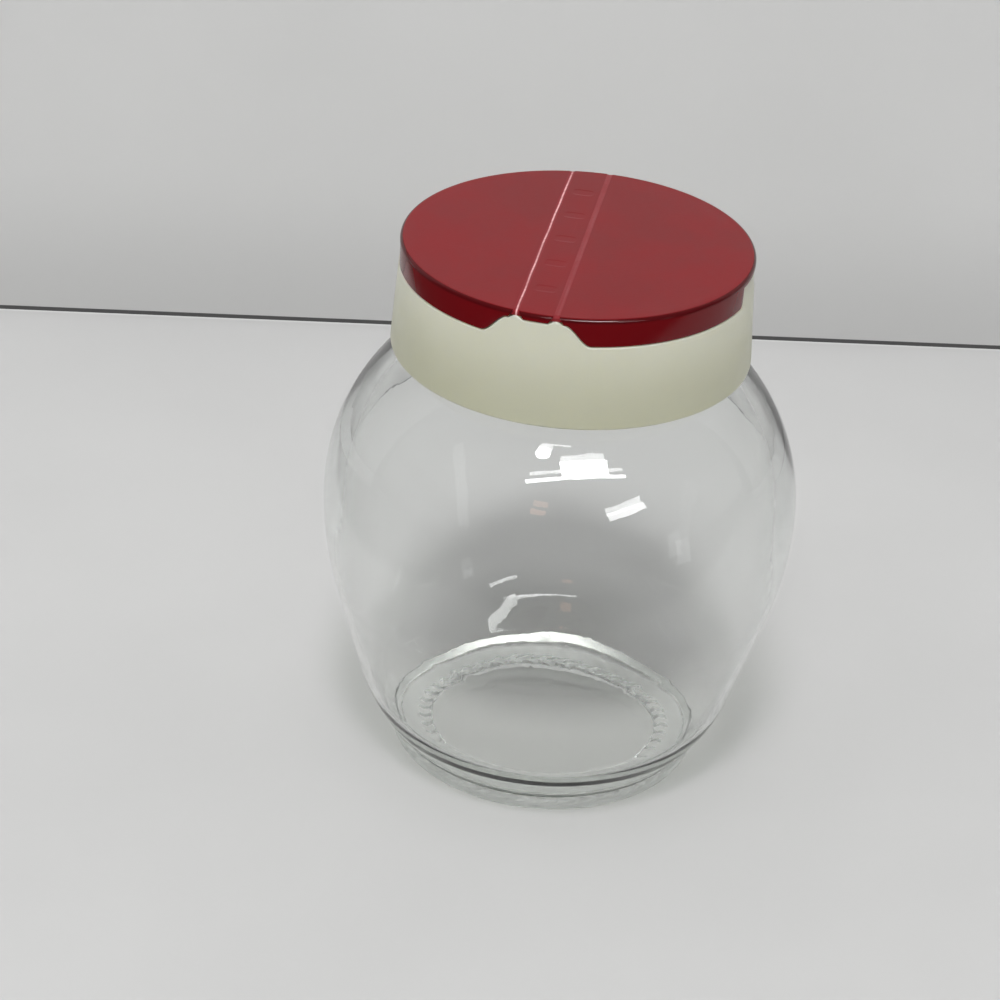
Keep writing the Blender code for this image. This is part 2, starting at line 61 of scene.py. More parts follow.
TAU = 2.0 * math.pi
PLASTIC_INDEX = 1.5
NOISE_MIDDLE = (0.3, 0.7)

Array = np.ndarray
Pair = tuple[float, float]
Triple = tuple[float, float, float]
Colour = Triple
Socket = bpy.types.NodeSocket
Material = bpy.types.Material
Piece = bpy.types.Object


class Side(Enum):
    """Which way a flap lies from its hinge line."""

    SPOON = 1
    SHAKER = -1


# Curves and grids


def smooth(value: Array) -> Array:
    """Smoothstep: three times the square less two times the cube, of a value kept in 0 to 1.

    Args:
        value: Any numbers.

    Returns:
        Numbers from 0 to 1 with level ends.
    """
    kept = np.clip(value, 0.0, 1.0)
    return kept * kept * (3.0 - 2.0 * kept)


def arc(centre: Pair, radius: float, start: float, end: float, steps: int) -> Array:
    """Arc in a plane: the centre plus the radius times the cosine and the sine of the angle.

    Args:
        centre: The arc's centre.
        radius: Its radius.
        start: First angle, in radians.
        end: Last angle, in radians.
        steps: Number of equal steps between them.

    Returns:
        Points, one row each, both ends included.
    """
    angle = np.linspace(start, end, steps + 1)
    return np.column_stack((centre[0] + radius * np.cos(angle), centre[1] + radius * np.sin(angle)))


def line(start: Pair, end: Pair, steps: int) -> Array:
    """Straight run in a plane: the start plus equal shares of the way to the end.

    Args:
        start: First point.
        end: Last point.
        steps: Number of equal steps.

    Returns:
        Points, one row each, both ends included.
    """
    share = np.linspace(0.0, 1.0, steps + 1)[:, None]
    return np.asarray(start) * (1.0 - share) + np.asarray(end) * share


def rounded(corners: list[Triple], steps: int = 4) -> Array:
    """Open run of straight lines whose corners are rounded by tangent arcs.

    At a corner with a turn of T the arc leaves each line at the radius times the tangent of
    half T from the corner. A radius of 0 keeps the corner sharp.

    Args:
        corners: Points with their radius, as (x, y, radius).
        steps: Steps in each rounded corner.

    Returns:
        Points, one row each.
    """
    points = [np.array(corners[0][:2])]
    for before, here, after in zip(corners, corners[1:], corners[2:]):
        corner, radius = np.array(here[:2]), here[2]
        if radius <= 0.0:
            points.append(corner)
            continue
        back = np.array(before[:2]) - corner
        ahead = np.array(after[:2]) - corner
        back, ahead = back / np.linalg.norm(back), ahead / np.linalg.norm(ahead)
        half = math.acos(float(np.clip(-back @ ahead, -1.0, 1.0))) / 2.0
        reach = radius * math.tan(half)
        bisector = (back + ahead) / np.linalg.norm(back + ahead)
        centre = corner + bisector * (radius / math.cos(half))
        first, last = corner + back * reach - centre, corner + ahead * reach - centre
        start = math.atan2(first[1], first[0])
        turn = (math.atan2(last[1], last[0]) - start + math.pi) % TAU - math.pi
        points.extend(arc((centre[0], centre[1]), radius, start, start + turn, steps))
    points.append(np.array(corners[-1][:2]))
    return np.array(points)


def quads(rows: int, columns: int, wrap_rows: bool, wrap_columns: bool) -> Array:
    """Corner numbers of the faces of a grid whose points are stored row by row.

    Args:
        rows: Number of rows.
        columns: Number of points in a row.
        wrap_rows: Whether the last row joins the first.
        wrap_columns: Whether a row's last point joins its first.

    Returns:
        Four corner numbers for each face.
    """
    row = np.arange(rows if wrap_rows else rows - 1)[:, None]
    column = np.arange(columns if wrap_columns else columns - 1)[None, :]
    below, beside = (row + 1) % rows, (column + 1) % columns
    corners = (row * columns + column, row * columns + beside, below * columns + beside,
               below * columns + column)
    return np.stack(np.broadcast_arrays(*corners), axis=-1).reshape(-1, 4)


@dataclass
class Skin:
    """Points and faces gathered from grids, caps and fans, then made one mesh."""

    points: list[Array] = field(default_factory=list)
    faces: list[list[int]] = field(default_factory=list)
    count: int = 0

    def add(self, points: Array, faces: Array | list) -> int:
        """Add points and the faces between them.

        Args:
            points: Three numbers for each point.
            faces: Corner numbers that count from the first of these points.

        Returns:
            The number that the first of these points gets.
        """
        first = self.count
        flat = np.asarray(points, float).reshape(-1, 3)
        self.points.append(flat)
        self.faces.extend((np.asarray(face) + first).tolist() for face in faces)
        self.count += len(flat)
        return first

    def grid(self, points: Array, wrap_rows: bool = False, wrap_columns: bool = False) -> int:
        """Add a grid of points, as rows by columns by three, and return its first number."""
        rows, columns = points.shape[:2]
        return self.add(points, quads(rows, columns, wrap_rows, wrap_columns))

    def fan(self, ring: list[int], tip: Array) -> None:
        """Close a ring of point numbers with triangles to one added point."""
        centre = self.add(np.asarray(tip)[None, :], [])
        self.faces.extend([a, b, centre] for a, b in zip(ring, ring[1:] + ring[:1]))

    def plane(self, loops: list[list[int]]) -> None:
        """Fill the flat area between an outer loop of point numbers and its holes.

        Args:
            loops: The outer loop first, then the holes.
        """
        stored = np.concatenate(self.points)
        polygons = [[Vector(stored[index]) for index in loop] for loop in loops]
        numbers = [index for loop in loops for index in loop]
        for triangle in tessellate_polygon(polygons):
            self.faces.append([numbers[index] for index in triangle])

    def tube(self, points: Array) -> None:
        """Add a grid of closed rings, with one face over the first ring and one over the last.

        Args:
            points: Rings by points by three.
        """
        first = self.grid(points, wrap_columns=True)
        rings, count = points.shape[:2]
        for start in (first, first + count * (rings - 1)):
            self.faces.append(list(range(start, start + count)))

    def build(self, name: str, sharp_angle: float = 40.0) -> Piece:
        """Make the mesh: merge doubles, turn faces outwards and shade it smooth.

        Args:
            name: The piece's name.
            sharp_angle: Edges that turn by more degrees than this stay sharp.

        Returns:
            The new object, at the origin, in the scene's own collection.
        """
        mesh = bpy.data.meshes.new(name)
        mesh.from_pydata(np.concatenate(self.points).tolist(), [], self.faces)
        shell = bmesh.new()
        shell.from_mesh(mesh)
        bmesh.ops.remove_doubles(shell, verts=shell.verts, dist=0.000002)
        bmesh.ops.recalc_face_normals(shell, faces=shell.faces)
        shell.to_mesh(mesh)
        shell.free()
        mesh.shade_smooth()
        mesh.set_sharp_from_angle(angle=math.radians(sharp_angle))
        piece = bpy.data.objects.new(name, mesh)
        bpy.context.scene.collection.objects.link(piece)
        return piece


def level(outline: Array, z: float) -> Array:
    """Points of a plane outline, put at a height."""
    return np.column_stack((outline, np.full(len(outline), z)))


def spun(skin: Skin, profile: Array, angles: Array) -> int:
    """Turn a profile round Z: x is r times the cosine and y is r times the sine of the angle.

    Args:
        skin: What the grid is added to.
        profile: Points as (radius, height).
        angles: Angles round the axis, all round once.

    Returns:
        The number of the grid's first point.
    """
    radius, height = profile[:, :1], profile[:, 1:]
    rows = (radius * np.cos(angles), radius * np.sin(angles), height + 0.0 * angles)
    return skin.grid(np.stack(rows, axis=-1), wrap_columns=True)


def full_turn(steps: int) -> Array:
    """Equal angles all round, the last one a step short of the first."""
    return np.arange(steps) * TAU / steps


def circle(centre: Pair, radius: float, count: int) -> Array:
    """Equally spaced points of a circle, the last one a step short of the first."""
    return arc(centre, radius, 0.0, TAU * (count - 1) / count, count - 1)


def post(skin: Skin, profile: Array, place: Pair, steps: int) -> None:
    """Turn a profile round an upright line at a place, and close both its ends.

    Args:
        skin: What the post is added to.
        profile: Points as (radius, height).
        place: Where the line stands.
        steps: Points all round.
    """
    first = spun(skin, profile, full_turn(steps))
    skin.points[-1] += np.array((*place, 0.0))
    ring = list(range(first, first + steps))
    skin.faces.append(ring)
    skin.faces.append([number + steps * (len(profile) - 1) for number in reversed(ring)])


def all_round(section: Array, count: int) -> Array:
    """The same section at each of a count of angles, as points by angles by two."""
    return np.repeat(section[:, None, :], count, axis=1)


@dataclass(frozen=True)
class Band:
    """Stretch of heights that fades in above its low end and out below its high end."""

    low: float
    low_fade: float
    high: float
    high_fade: float

    def share(self, z: Array) -> Array:
        """Smoothstep of the way up over the low fade, times that of the way down to the high."""
        return smooth((z - self.low) / self.low_fade) * smooth((self.high - z) / self.high_fade)


@dataclass(frozen=True)
class Wave:
    """One slow wave of a wall, round the jar and up it."""

    share: float
    laps: float
    shift: float
    climb: float

    def at(self, angle: Array, z: Array) -> Array:
        """Share times the sine of: laps times the angle, and the shift, and climb times z."""
        return self.share * np.sin(self.laps * angle + self.shift + self.climb * z)


# Node-made finishes


@dataclass
class Nodes:
    """Short ways to add and join nodes in one material."""

    material: Material

    @classmethod
    def fresh(cls, name: str) -> "Nodes":
        """A new material that holds only a Principled shader and its output.

        Args:
            name: The material's name.

        Returns:
            The material's nodes.
        """
        material = bpy.data.materials.new(name)
        material.use_nodes = True
        return cls(material)

    @property
    def shader(self) -> bpy.types.Node:
        """The material's Principled shader."""
        return self.material.node_tree.nodes["Principled BSDF"]

    @property
    def output(self) -> bpy.types.Node:
        """The material's output node."""
        return self.material.node_tree.nodes["Material Output"]

    def add(self, kind: str, **settings: object) -> bpy.types.Node:
        """Add a node.

        Args:
            kind: The node's type, without ShaderNode.
            settings: Its properties; a name that isn't one is an input socket's.

        Returns:
            The node.
        """
        node = self.material.node_tree.nodes.new("ShaderNode" + kind)
        for name, value in settings.items():
            if hasattr(node, name):
                setattr(node, name, value)
            else:
                node.inputs[name.replace("_", " ")].default_value = value
        return node

    def link(self, source: Socket, target: Socket) -> None:
        """Join an output socket to an input socket."""
        self.material.node_tree.links.new(source, target)

    def where(self) -> list[Socket]:
        """Object coordinates, as one socket each for X, Y and Z.

        Returns:
            Three sockets.
        """
        parts = self.add("SeparateXYZ")
        self.link(self.add("TexCoord").outputs["Object"], parts.inputs[0])
        return list(parts.outputs)

    def place(self, scale: Triple = (1.0, 1.0, 1.0), turn: float = 0.0) -> Socket:
        """Object coordinates, scaled and turned about Z.

        Args:
            scale: Factors on X, Y and Z.
            turn: Turn about Z, in radians.

        Returns:
            The coordinates.
        """
        source = self.add("TexCoord").outputs["Object"]
        mapping = self.add("Mapping")
        mapping.inputs["Scale"].default_value = scale
        mapping.inputs["Rotation"].default_value = (0.0, 0.0, turn)
        self.link(source, mapping.inputs["Vector"])
        return mapping.outputs["Vector"]

    def noise(
        self, scale: float, detail: float = 3.0, stretch: Triple = (1.0, 1.0, 1.0), turn: float = 0.0
    ) -> Socket:
        """Noise on object coordinates, from about 0.2 to 0.8.

        Args:
            scale: Lumps to the metre, about.
            detail: Finer layers of lumps.
            stretch: Factors on X, Y and Z; a small one draws the lumps out along its axis.
            turn: Turn of the pattern about Z, in radians.

        Returns:
            The noise.
        """
        node = self.add("TexNoise", Scale=scale, Detail=detail)
        self.link(self.place(stretch, turn), node.inputs["Vector"])
        return node.outputs["Fac"]

    def spread(
        self, source: Socket, low: float, high: float, to_low: float = 0.0, to_high: float = 1.0
    ) -> Socket:
        """Map a stretch of values to another one, by smoothstep, and hold it at both ends.

        Args:
            source: The value.
            low: Start of the stretch.
            high: Its end.
            to_low: What low becomes.
            to_high: What high becomes.

        Returns:
            The mapped value.
        """
        node = self.add("MapRange", interpolation_type="SMOOTHSTEP")
        values = (low, high, to_low, to_high)
        for socket, value in zip(("From Min", "From Max", "To Min", "To Max"), values):
            node.inputs[socket].default_value = value
        self.link(source, node.inputs["Value"])
        return node.outputs["Result"]

    def maths(self, operation: str, first: Socket, second: Socket | float = 0.0) -> Socket:
        """Join two values by a maths operation.

        Args:
            operation: The Math node's own word for it.
            first: The first value.
            second: The second value, where the operation has one.

        Returns:
            The result.
        """
        node = self.add("Math", operation=operation)
        self.link(first, node.inputs[0])
        if isinstance(second, (int, float)):
            node.inputs[1].default_value = second
        else:
            self.link(second, node.inputs[1])
        return node.outputs[0]

    def mix(self, share: Socket, first: Colour | Socket, second: Colour | Socket) -> Socket:
        """Mix two colours.

        Args:
            share: How much of the second there is.
            first: The first colour.
            second: The second colour.

        Returns:
            The mixed colour.
        """
        node = self.add("Mix", data_type="RGBA")
        self.link(share, node.inputs["Factor"])
        for socket, colour in ((node.inputs[6], first), (node.inputs[7], second)):
            if isinstance(colour, tuple):
                socket.default_value = (*colour, 1.0)
            else:
                self.link(colour, socket)
        return node.outputs[2]

    def bumps(self, *layers: tuple[Socket, float]) -> None:
        """Drive the shader's normal by bumps laid over each other.

        Args:
            layers: For each bump, its height and the metres that a height of 1 stands for.
        """
        normal = None
        for height, depth in layers:
            node = self.add("Bump", Strength=1.0, Distance=depth)
            self.link(height, node.inputs["Height"])
            if normal is not None:
                self.link(normal, node.inputs["Normal"])
            normal = node.outputs["Normal"]
        self.link(normal, self.shader.inputs["Normal"])

    def see_through(self, share: Socket, tint: Socket | None = None) -> None:
        """Open the material up by a share.

        Args:
            share: 0 where the shader shows and 1 where the material is open.
            tint: Colour of what comes through, or none for white.
        """
        clear = self.add("BsdfTransparent")
        if tint is not None:
            self.link(tint, clear.inputs["Color"])
        blend = self.add("MixShader")
        self.link(share, blend.inputs[0])
        self.link(self.shader.outputs["BSDF"], blend.inputs[1])
        self.link(clear.outputs["BSDF"], blend.inputs[2])
        self.link(blend.outputs["Shader"], self.output.inputs["Surface"])


@dataclass(frozen=True)
class ClearGlass:
    """Clear jar glass: smooth, faintly green along thick edges, and open to light."""

    index: float = 1.51
    wave_depth: float = 0.035 * MM
    wave_scale: float = 85.0
    peel_depth: float = 0.006 * MM
    peel_scale: float = 520.0
    body_tint: Colour = (0.47, 0.55, 0.48)
    body_density: float = 22.0
    foot_shade: Colour = (0.985, 0.985, 0.98)
    belly_shade: Colour = (0.875, 0.875, 0.87)
    shoulder_shade: Colour = (0.965, 0.965, 0.96)
    heel_heights: Pair = (5.0 * MM, 22.0 * MM)
    shoulder_heights: Pair = (62.0 * MM, 82.0 * MM)
    knurl_middle: float = 26.1 * MM
    knurl_half: float = 2.1 * MM
    knurl_core: float = 0.55
    knurl_heights: Pair = (1.2 * MM, 1.6 * MM)
    knurl_count: int = 44
    knurl_slant: float = 900.0
    knurl_depth: float = 0.26 * MM
    scuffed: float = 0.75
    scuffed_heights: Pair = (0.05 * MM, 0.6 * MM)

    def make(self) -> Material:
        """Build the material.

        Returns:
            Glass whose shadow is tinted and not black, with absorption inside.
        """
        nodes = Nodes.fresh("clear jar glass")
        shader = nodes.shader
        shader.inputs["Base Color"].default_value = (1.0, 1.0, 1.0, 1.0)
        shader.inputs["Transmission Weight"].default_value = 1.0
        shader.inputs["IOR"].default_value = self.index
        self.make_surface(nodes)
        height = nodes.where()[2]
        heel = nodes.spread(height, *self.heel_heights)
        high = nodes.spread(height, *self.shoulder_heights)
        low = nodes.mix(heel, self.foot_shade, self.belly_shade)
        path = nodes.add("LightPath").outputs
        lit = nodes.maths("MAXIMUM", path["Is Shadow Ray"], path["Is Diffuse Ray"])
        nodes.see_through(lit, nodes.mix(high, low, self.shoulder_shade))
        volume = nodes.add("VolumeAbsorption", Color=(*self.body_tint, 1.0))
        volume.inputs["Density"].default_value = self.body_density
        nodes.link(volume.outputs["Volume"], nodes.output.inputs["Volume"])
        return nodes.material

    def make_surface(self, nodes: Nodes) -> None:
        """Add the knurled ring, the scuffed bearing ring and the slight unevenness of the wall.

        The knurl's strokes are the cosine of the angle times their count, slanted by the
        distance from the ring's middle.

        Args:
            nodes: The glass's nodes.
        """
        x, y, z = nodes.where()
        square = nodes.maths("ADD", nodes.maths("MULTIPLY", x, x), nodes.maths("MULTIPLY", y, y))
        radius = nodes.maths("SQRT", square)
        turn = nodes.maths("MULTIPLY", nodes.maths("ARCTAN2", y, x), float(self.knurl_count))
        off = nodes.maths("ABSOLUTE", nodes.maths("SUBTRACT", radius, self.knurl_middle))
        turn = nodes.maths("ADD", turn, nodes.maths("MULTIPLY", off, self.knurl_slant))
        rib = nodes.maths("MULTIPLY", nodes.maths("COSINE", turn), 0.5)
        ring = nodes.spread(off, self.knurl_core * self.knurl_half, self.knurl_half, 1.0, 0.0)
        ring = nodes.maths("MULTIPLY", ring, nodes.spread(z, *self.knurl_heights, 1.0, 0.0))
        bearing = nodes.spread(z, *self.scuffed_heights, self.scuffed, 0.0)
        nodes.link(bearing, nodes.shader.inputs["Roughness"])
        nodes.bumps(
            (nodes.maths("MULTIPLY", rib, ring), self.knurl_depth),
            (nodes.noise(self.wave_scale, 1.0), self.wave_depth),
            (nodes.noise(self.peel_scale, 1.0), self.peel_depth),
        )


@dataclass(frozen=True)
class Scratches:
    """Fine marks of one direction, where a drawn-out noise is highest."""

    scale: float
    stretch: Triple
    turn: float
    edges: Pair
    detail: float = 6.0

    def share(self, nodes: Nodes) -> Socket:
        """Shares from 0 to 1 at the middle of a mark."""
        return nodes.spread(nodes.noise(self.scale, self.detail, self.stretch, self.turn), *self.edges)


@dataclass(frozen=True)
class RedPlastic:
    """Deep red polypropylene: satin top, glossy edges with painted shade, sinks and handling marks."""

    top: float
    sink_x: float
    face: Colour = (0.214, 0.0024, 0.0058)
    cloud: Colour = (0.182, 0.0018, 0.0042)
    # edge: the skirt's red, painted darker than the top face's red as shade
    edge: Colour = (0.135, 0.0012, 0.0035)
    # rim: a darker red painted on the rounded rim between top and skirt, as shade
    rim: Colour = (0.070, 0.0008, 0.0022)
    worn: Colour = (0.33, 0.060, 0.070)
    top_depths: Pair = (0.10 * MM, 0.015 * MM)
    rim_shade_depths: Pair = (1.1 * MM, 0.55 * MM)
    cloud_scale: float = 55.0
    wear: float = 0.10
    scratches: tuple[Scratches, ...] = (
        Scratches(900.0, (1.0, 0.05, 1.0), 0.5, (0.66, 0.78)),
        Scratches(700.0, (0.06, 1.0, 1.0), 0.35, (0.67, 0.80)),
    )
    face_roughness: float = 0.33
    edge_roughness: float = 0.13
    patchiness: Pair = (-0.03, 0.04)
    gloss: float = 0.24
    sink_spacing: float = 11.6 * MM
    sink_half: Pair = (2.3 * MM, 1.5 * MM)
    sink_reach: float = 29.0 * MM
    sink_fade: float = 1.0 * MM
    sink_depth: float = 0.05 * MM
    grain_depth: float = 0.010 * MM
    grain_scale: float = 2600.0
    broad_scale: float = 45.0
    broad_share: float = 6.0
    scratch_share: float = 0.5

    def sinks(self, nodes: Nodes) -> Socket:
        """Shallow sink marks along the middle strip.

        A mark ends where the fourth powers of the distances across and along it, each over its
        half size, add up to 1.

        Args:
            nodes: The material's nodes.

        Returns:
            Height, from 1 beside the marks to 0 in their middle.
        """
        x, y, _ = nodes.where()
        along = nodes.maths("PINGPONG", y, self.sink_spacing / 2.0)
        across = nodes.maths("SUBTRACT", x, self.sink_x)
        shares = [
            nodes.maths("POWER", nodes.maths("DIVIDE", value, half), 4.0)
            for value, half in zip((across, along), self.sink_half)
        ]
        dish = nodes.spread(nodes.maths("ADD", *shares), 0.0, 1.0)
        reach = nodes.maths("ABSOLUTE", y)
        beyond = nodes.spread(reach, self.sink_reach - self.sink_fade, self.sink_reach)
        return nodes.maths("MAXIMUM", dish, beyond)

    def make(self) -> Material:
        """Build the material.

        Returns:
            Red whose flat top is hazier than its sides, which have painted shade, darkest on the rim.
        """
        nodes = Nodes.fresh("red plastic")
        shader = nodes.shader
        cloudy = nodes.noise(self.cloud_scale, 4.0)
        marks = nodes.maths("MAXIMUM", *(marks.share(nodes) for marks in self.scratches))
        height = nodes.where()[2]
        on_top = nodes.spread(height, *(self.top - depth for depth in self.top_depths))
        rim_shade_share = nodes.spread(height, *(self.top - depth for depth in self.rim_shade_depths))
        face = nodes.mix(nodes.spread(cloudy, *NOISE_MIDDLE), self.cloud, self.face)
        # The edge red on the skirt and the darker rim red on the rounded rim are painted shade; the
        # top face's red is paler
        tone = nodes.mix(on_top, nodes.mix(rim_shade_share, self.edge, self.rim), face)
        wear = nodes.maths("MULTIPLY", nodes.maths("MULTIPLY", marks, on_top), self.wear)
        nodes.link(nodes.mix(wear, tone, self.worn), shader.inputs["Base Color"])
        haze = nodes.maths("MULTIPLY", on_top, self.face_roughness - self.edge_roughness)
        rough = nodes.maths("ADD", haze, self.edge_roughness)
        patches = nodes.spread(cloudy, *NOISE_MIDDLE, *self.patchiness)
        rough = nodes.maths("ADD", rough, nodes.maths("MULTIPLY", patches, on_top))
        nodes.link(rough, shader.inputs["Roughness"])
        shader.inputs["IOR"].default_value = PLASTIC_INDEX
        shader.inputs["Specular IOR Level"].default_value = self.gloss
        broad = nodes.maths("MULTIPLY", nodes.noise(self.broad_scale, 2.0), self.broad_share)
        fine = nodes.maths("MULTIPLY", nodes.noise(self.grain_scale, 2.0), on_top)
        scored = nodes.maths("MULTIPLY", marks, self.scratch_share)
        grain = nodes.maths("ADD", nodes.maths("ADD", broad, fine), scored)
        nodes.bumps((grain, self.grain_depth), (self.sinks(nodes), self.sink_depth))
        return nodes.material


@dataclass(frozen=True)
class HingeRed:
    """Red plastic along a hinge line, paler where bending has strained it."""

    body: Colour = (0.228, 0.0058, 0.0108)
    strained: Colour = (0.82, 0.44, 0.45)
    core: float = 0.30
    core_full: float = 0.4
    share: float = 1.0
    sway: float = 1.0
    sway_scale: float = 70.0
    broken: float = 0.6
    broken_scale: float = 160.0
    broken_edges: Pair = (0.38, 0.60)
    fine_scale: float = 900.0
    fine_edges: Pair = (0.30, 0.60)
    fine_low: float = 0.6
    roughness: float = 0.36
    gloss: float = 0.32
    grain_scale: float = 1800.0
    grain_depth: float = 0.01 * MM

    def make(self, name: str) -> Material:
        """Build the material, which reads the web's own attribute across the hinge line.

        Args:
            name: The material's name.

        Returns:
            A material that is strained within the core's share of the half width, along a line
            that sways slowly from side to side and fades where it is broken.
        """
        nodes = Nodes.fresh(name)
        shader = nodes.shader
        across = nodes.add("Attribute", attribute_name="across").outputs["Fac"]
        slow = nodes.noise(self.sway_scale, 1.0)
        shift = nodes.maths("MULTIPLY", nodes.maths("SUBTRACT", slow, 0.5), self.sway)
        distance = nodes.maths("ABSOLUTE", nodes.maths("ADD", across, shift))
        full = self.core * self.core_full
        line_share = nodes.spread(distance, full, self.core, self.share, 0.0)
        lumps = nodes.noise(self.broken_scale, 2.0)
        patches = nodes.spread(lumps, *self.broken_edges, 1.0 - self.broken, 1.0)
        fine = nodes.spread(nodes.noise(self.fine_scale, 4.0), *self.fine_edges, self.fine_low, 1.0)
        amount = nodes.maths("MULTIPLY", line_share, nodes.maths("MULTIPLY", fine, patches))
        nodes.link(nodes.mix(amount, self.body, self.strained), shader.inputs["Base Color"])
        shader.inputs["Roughness"].default_value = self.roughness
        shader.inputs["IOR"].default_value = PLASTIC_INDEX
        shader.inputs["Specular IOR Level"].default_value = self.gloss
        nodes.bumps((nodes.noise(self.grain_scale, 2.0), self.grain_depth))
        return nodes.material


@dataclass(frozen=True)
class CreamPlastic:
    """Cream polypropylene that lets a little light in, with a soft satin face."""

    # low and high are painted shade and light: darker and greener lower down, paler towards the top,
    # blended over the heights
    low: Colour = (0.520, 0.520, 0.390)
    high: Colour = (0.640, 0.640, 0.525)
    heights: Pair = (93.0 * MM, 111.0 * MM)
    cloud_scale: float = 38.0
    cloud_reach: float = 0.12
    rough_scale: float = 160.0
    roughness: Pair = (0.30, 0.42)
    inner_share: float = 0.6
    inner_colour: Colour = (1.0, 0.95, 0.7)
    depth: float = 2.2 * MM
    fine_scale: float = 1500.0
    broad_scale: float = 60.0
    grain_depth: float = 0.012 * MM

    def make(self) -> Material:
        """Build the material.

        Returns:
            Cream that is paler towards the top, as painted light, and darker lower down, as painted
            shade.
        """
        nodes = Nodes.fresh("cream plastic")
        shader = nodes.shader
        reach = self.cloud_reach
        cloudy = nodes.spread(nodes.noise(self.cloud_scale, 3.0), *NOISE_MIDDLE, -reach, reach)
        painted_light_and_cloud = nodes.maths("ADD", nodes.spread(nodes.where()[2], *self.heights), cloudy)
        nodes.link(nodes.mix(painted_light_and_cloud, self.low, self.high), shader.inputs["Base Color"])
        rough = nodes.spread(nodes.noise(self.rough_scale, 5.0), *NOISE_MIDDLE, *self.roughness)
        nodes.link(rough, shader.inputs["Roughness"])
        shader.inputs["Subsurface Weight"].default_value = self.inner_share
        shader.inputs["Subsurface Radius"].default_value = self.inner_colour
        shader.inputs["Subsurface Scale"].default_value = self.depth
        fine, broad = (nodes.noise(scale, 2.0) for scale in (self.fine_scale, self.broad_scale))
        nodes.bumps((nodes.maths("ADD", fine, broad), self.grain_depth))
        return nodes.material


@dataclass(frozen=True)
class WhiteFoam:
    """Closed white foam with fine cells."""

    body: Colour = (0.80, 0.80, 0.78)
    cell: Colour = (0.70, 0.70, 0.68)
    cell_scale: float = 2600.0
    cell_edge: float = 0.7
    roughness: float = 0.8
    cell_depth: float = 0.06 * MM

    def make(self) -> Material:
        """Build the material.

        Returns:
            Matt foam, a little darker in the middle of its cells.
        """
        nodes = Nodes.fresh("white foam")
        shader = nodes.shader
        cells = nodes.add("TexVoronoi", Scale=self.cell_scale)
        nodes.link(nodes.place(), cells.inputs["Vector"])
        shade = nodes.spread(cells.outputs["Distance"], 0.0, self.cell_edge)
        nodes.link(nodes.mix(shade, self.cell, self.body), shader.inputs["Base Color"])
        shader.inputs["Roughness"].default_value = self.roughness
        nodes.bumps((cells.outputs["Distance"], self.cell_depth))
        return nodes.material


# The jar


@dataclass(frozen=True)
class ThreadForm:
    """One screw ridge, as a height above the wall that depends on angle and z."""

    low: float
    start_turn: float
    turns: float
    lead: float = 4.23 * MM
    height: float = 1.1 * MM
    half_width: float = 1.0 * MM
    fade: float = 0.35

    def lift(self, angle: Array, z: Array) -> Array:
        """Height of the ridge.

        The ridge's middle climbs by the lead in each turn. Its section is one less smoothstep
        of the distance from the middle over the half width, and it fades at both ends.

        Args:
            angle: Angles round the axis.
            z: Heights, broadcast against the angles.

        Returns:
            Lift above the wall, in metres.
        """
        lift = np.zeros(np.broadcast(angle, z).shape)
        first = self.start_turn * TAU
        length = self.turns * TAU
        for lap in range(int(math.ceil(self.turns)) + 1):
            along = (angle - first) % TAU + lap * TAU
            middle = self.low + self.lead * (first + along) / TAU
            ends = smooth(along / self.fade) * smooth((length - along) / self.fade)
            flank = 1.0 - smooth(np.abs(z - middle) / self.half_width)
            lift = np.maximum(lift, self.height * flank * ends)
        return lift


THREAD_LOW = 101.0 * MM


